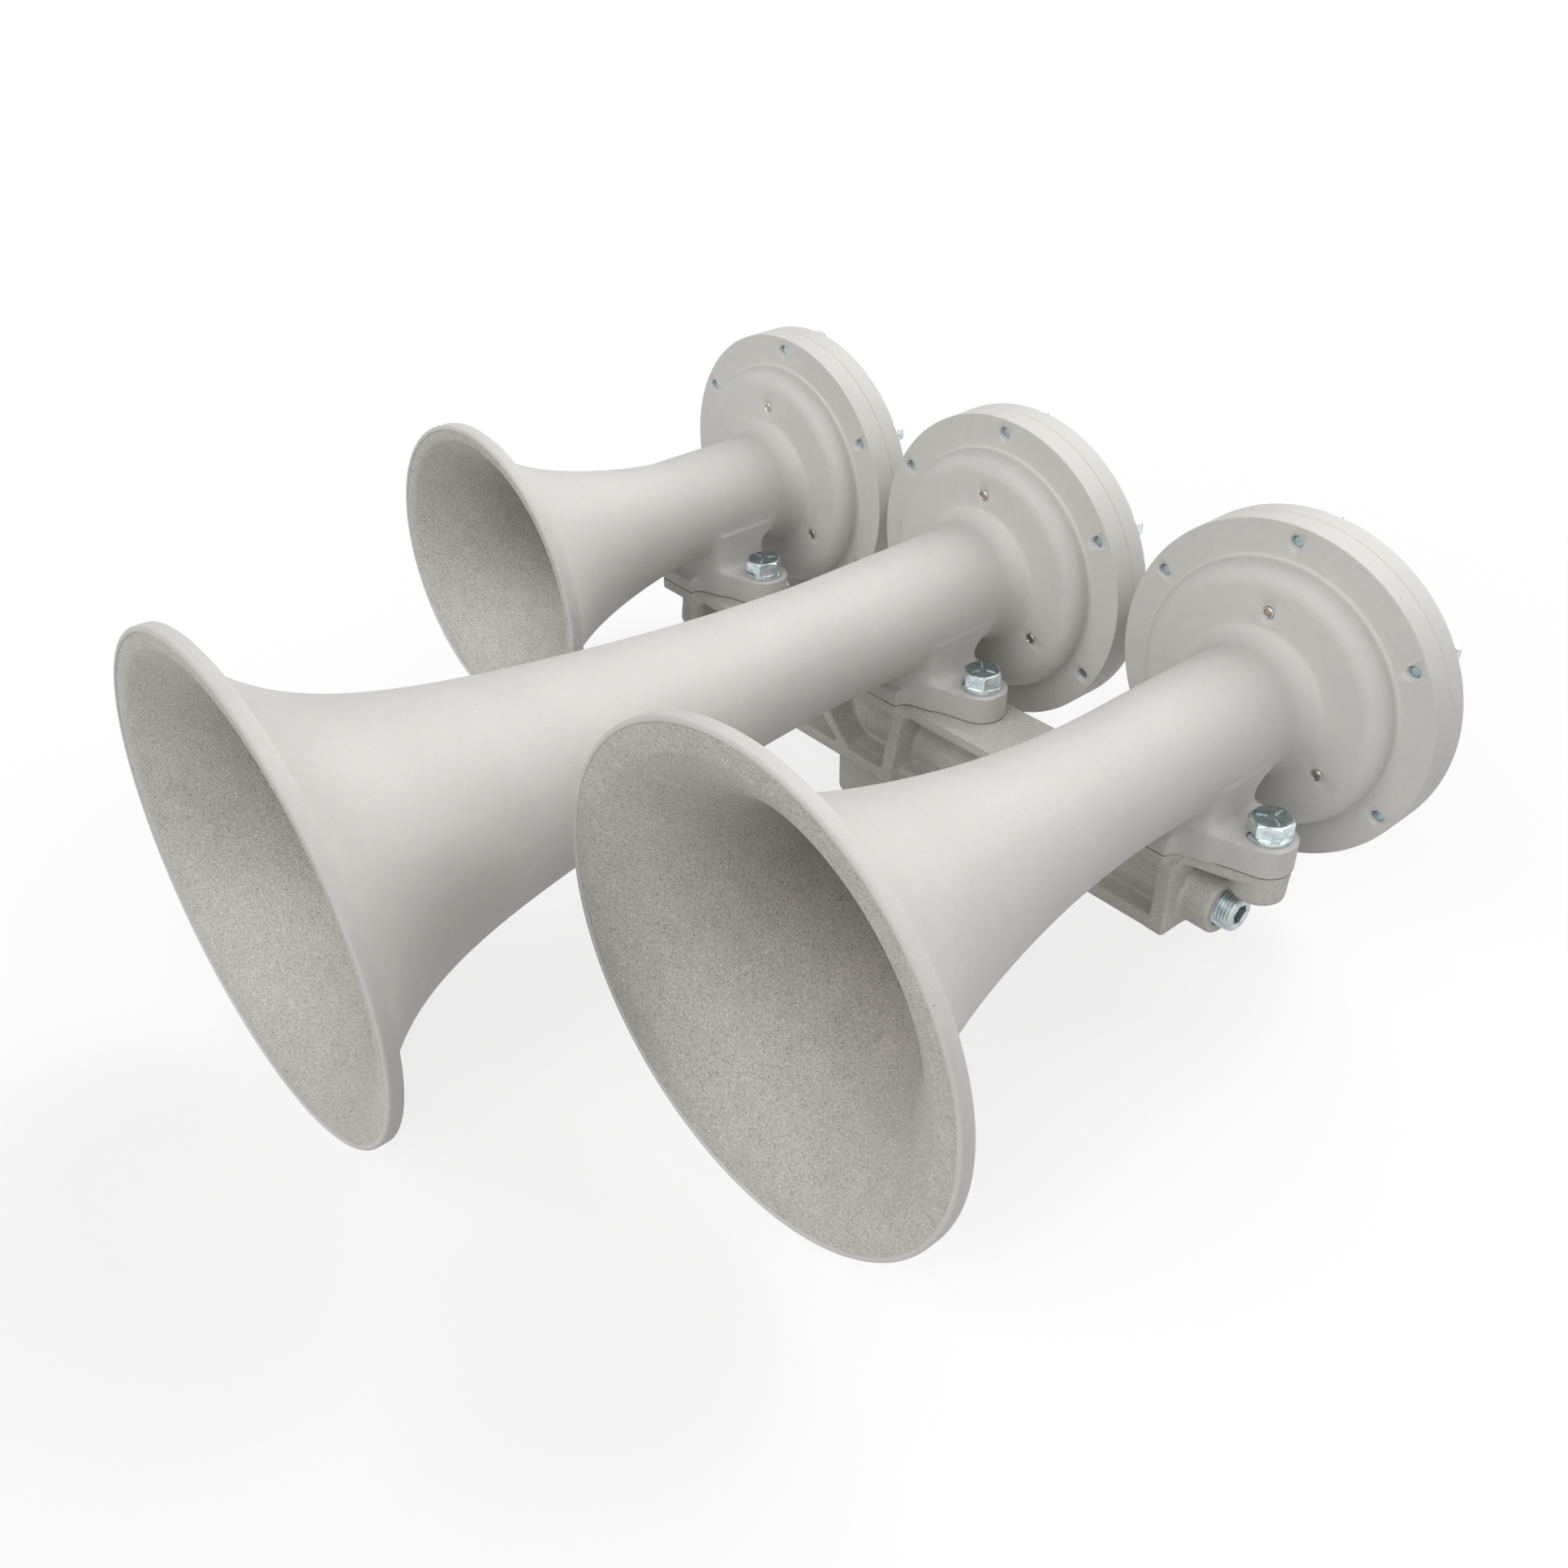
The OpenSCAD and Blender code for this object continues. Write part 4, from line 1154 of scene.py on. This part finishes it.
class AIRHORN_OT_inner_parts(bpy.types.Operator):
    """Finish the gaskets, diaphragms, seal rings and clamp rings"""
    bl_idname = "airhorn.inner_parts"
    bl_label = "Gaskets and Inner Parts"

    def execute(self, context):
        finishes = {
            "foot_gasket": sheet_material("gasket_sheet", context.scene.air_horn.finish.gasket, 0.8),
            "diaphragm": sheet_material("rolled_stainless", (0.55, 0.56, 0.57), 0.32, 1.0),
            "seal_ring": sheet_material("seal_rubber", (0.06, 0.06, 0.06), 0.6),
            "clamp_ring": sheet_material("turned_brass", (0.65, 0.52, 0.27), 0.35, 1.0),
        }
        for name in HORNS:
            for part, material in finishes.items():
                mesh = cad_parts[name + "_" + part].data
                mesh.materials.clear()
                mesh.materials.append(material)
        return {"FINISHED"}


# Floor in metres, place and power of each lamp, and the camera with its turn in degrees
FLOOR_SIZE, FLOOR_CELLS = 12.0, 40
SHOWN_FLOOR = (0.92, 0.92, 0.92, 1.0)
LAMPS = (("front", (0.0, -1.0, 0.8), 2.0), ("back", (0.0, 1.0, 0.8), 2.5), ("side", (1.0, 0.0, 0.8), 0.7))
LAMP_ANGLE = 60
EYE_PLACE = (0.5248, -0.5456, 0.5244)
EYE_TURN = (55.6336, 0.4971, 49.1167)


def paper_material(settings):
    """Floor that looks nearly white to the camera and throws a plain grey light on the part."""
    material, n, shader, place = new_material("studio_paper")
    tone = n.plus(0.99, n.times(n.noise(place, 300.0), 0.02))
    seen = n.seen_rays()
    shown = n.mix(seen, rgba(settings.finish.floor), SHOWN_FLOOR)
    n.link(n.tinted(shown, n.grey(tone)), shader.inputs["Base Color"])
    shader.inputs["Roughness"].default_value = 0.9
    shader.inputs["Specular IOR Level"].default_value = 0.1
    white = n.add("ShaderNodeEmission")
    white.inputs["Strength"].default_value = 1.0
    cover = n.add("ShaderNodeMixShader")
    n.link(n.times(seen, 0.75), cover.inputs[0])
    n.link(shader.outputs[0], cover.inputs[1])
    n.link(white.outputs[0], cover.inputs[2])
    n.link(cover.outputs[0], material.node_tree.nodes["Material Output"].inputs[0])
    return material


def studio_world():
    """White to the camera, and a weak cool light on the part."""
    world = bpy.data.worlds.new("studio")
    world.use_nodes = True
    world.node_tree.nodes.clear()
    n = Nodes(world.node_tree)
    soft, white = n.add("ShaderNodeBackground"), n.add("ShaderNodeBackground")
    soft.inputs["Color"].default_value = (0.95, 0.97, 1.0, 1.0)
    soft.inputs["Strength"].default_value = 0.05
    white.inputs["Strength"].default_value = 1.0
    mix = n.add("ShaderNodeMixShader")
    n.link(n.seen_rays(), mix.inputs[0])
    n.link(soft.outputs[0], mix.inputs[1])
    n.link(white.outputs[0], mix.inputs[2])
    n.link(mix.outputs[0], n.add("ShaderNodeOutputWorld").inputs[0])
    return world


class AIRHORN_OT_stage(bpy.types.Operator):
    """Set the floor, the lamps, the world and the camera"""
    bl_idname = "airhorn.stage"
    bl_label = "Stage"

    def execute(self, context):
        scene = context.scene
        mesh = bpy.data.meshes.new("studio_floor")
        n = FLOOR_CELLS
        line = [(i / n - 0.5) * FLOOR_SIZE for i in range(n + 1)]
        corners = [i * (n + 1) + j for i in range(n) for j in range(n)]
        quads = [(c, c + n + 1, c + n + 2, c + 1) for c in corners]
        mesh.from_pydata([(x, y, 0.0) for x in line for y in line], [], quads)
        mesh.materials.append(paper_material(scene.air_horn))
        floor = placed_object("studio_floor", mesh)
        scene.world = studio_world()

        for name, at, power in LAMPS:
            light = bpy.data.lights.new(name, "SUN")
            light.angle, light.energy = math.radians(LAMP_ANGLE), power
            lamp = placed_object(name, light)
            lamp.location = at
            lamp.rotation_euler = (-Vector(at)).to_track_quat("-Z", "Y").to_euler()

        camera = bpy.data.cameras.new("view")
        camera.lens, camera.sensor_width = 35.016, 36.0
        eye = placed_object("view", camera)
        eye.location = EYE_PLACE
        eye.rotation_euler = [math.radians(a) for a in EYE_TURN]
        scene.camera = eye
        scene.view_settings.view_transform = "Standard"
        return {"FINISHED"}


OPERATORS = (AIRHORN_OT_stage, AIRHORN_OT_bells, AIRHORN_OT_covers, AIRHORN_OT_foot_bolts,
             AIRHORN_OT_cover_screws, AIRHORN_OT_dome_plugs, AIRHORN_OT_manifold, AIRHORN_OT_end_plug,
             AIRHORN_OT_inner_parts)


class AIRHORN_PT_panel(bpy.types.Panel):
    """Steps that build the air horn"""
    bl_idname = "AIRHORN_PT_panel"
    bl_label = "Air Horn"
    bl_space_type = "VIEW_3D"
    bl_region_type = "UI"
    bl_category = "Air Horn"

    def draw(self, context):
        for operator in OPERATORS:
            self.layout.operator(operator.bl_idname)


GROUPS = (AirHornRow, AirHornBell, AirHornFoot, AirHornFinish, AirHornSettings)
CLASSES = GROUPS + OPERATORS + (AIRHORN_PT_panel,)


def register():
    for cls in CLASSES:
        bpy.utils.register_class(cls)
    bpy.types.Scene.air_horn = PointerProperty(type=AirHornSettings)


def unregister():
    del bpy.types.Scene.air_horn
    for cls in reversed(CLASSES):
        bpy.utils.unregister_class(cls)


def main():
    """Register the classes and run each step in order."""
    register()
    set_bells(bpy.context.scene.air_horn)
    for operator in OPERATORS:
        group, name = operator.bl_idname.split(".")
        getattr(getattr(bpy.ops, group), name)()


if __name__ == "__main__":
    main()
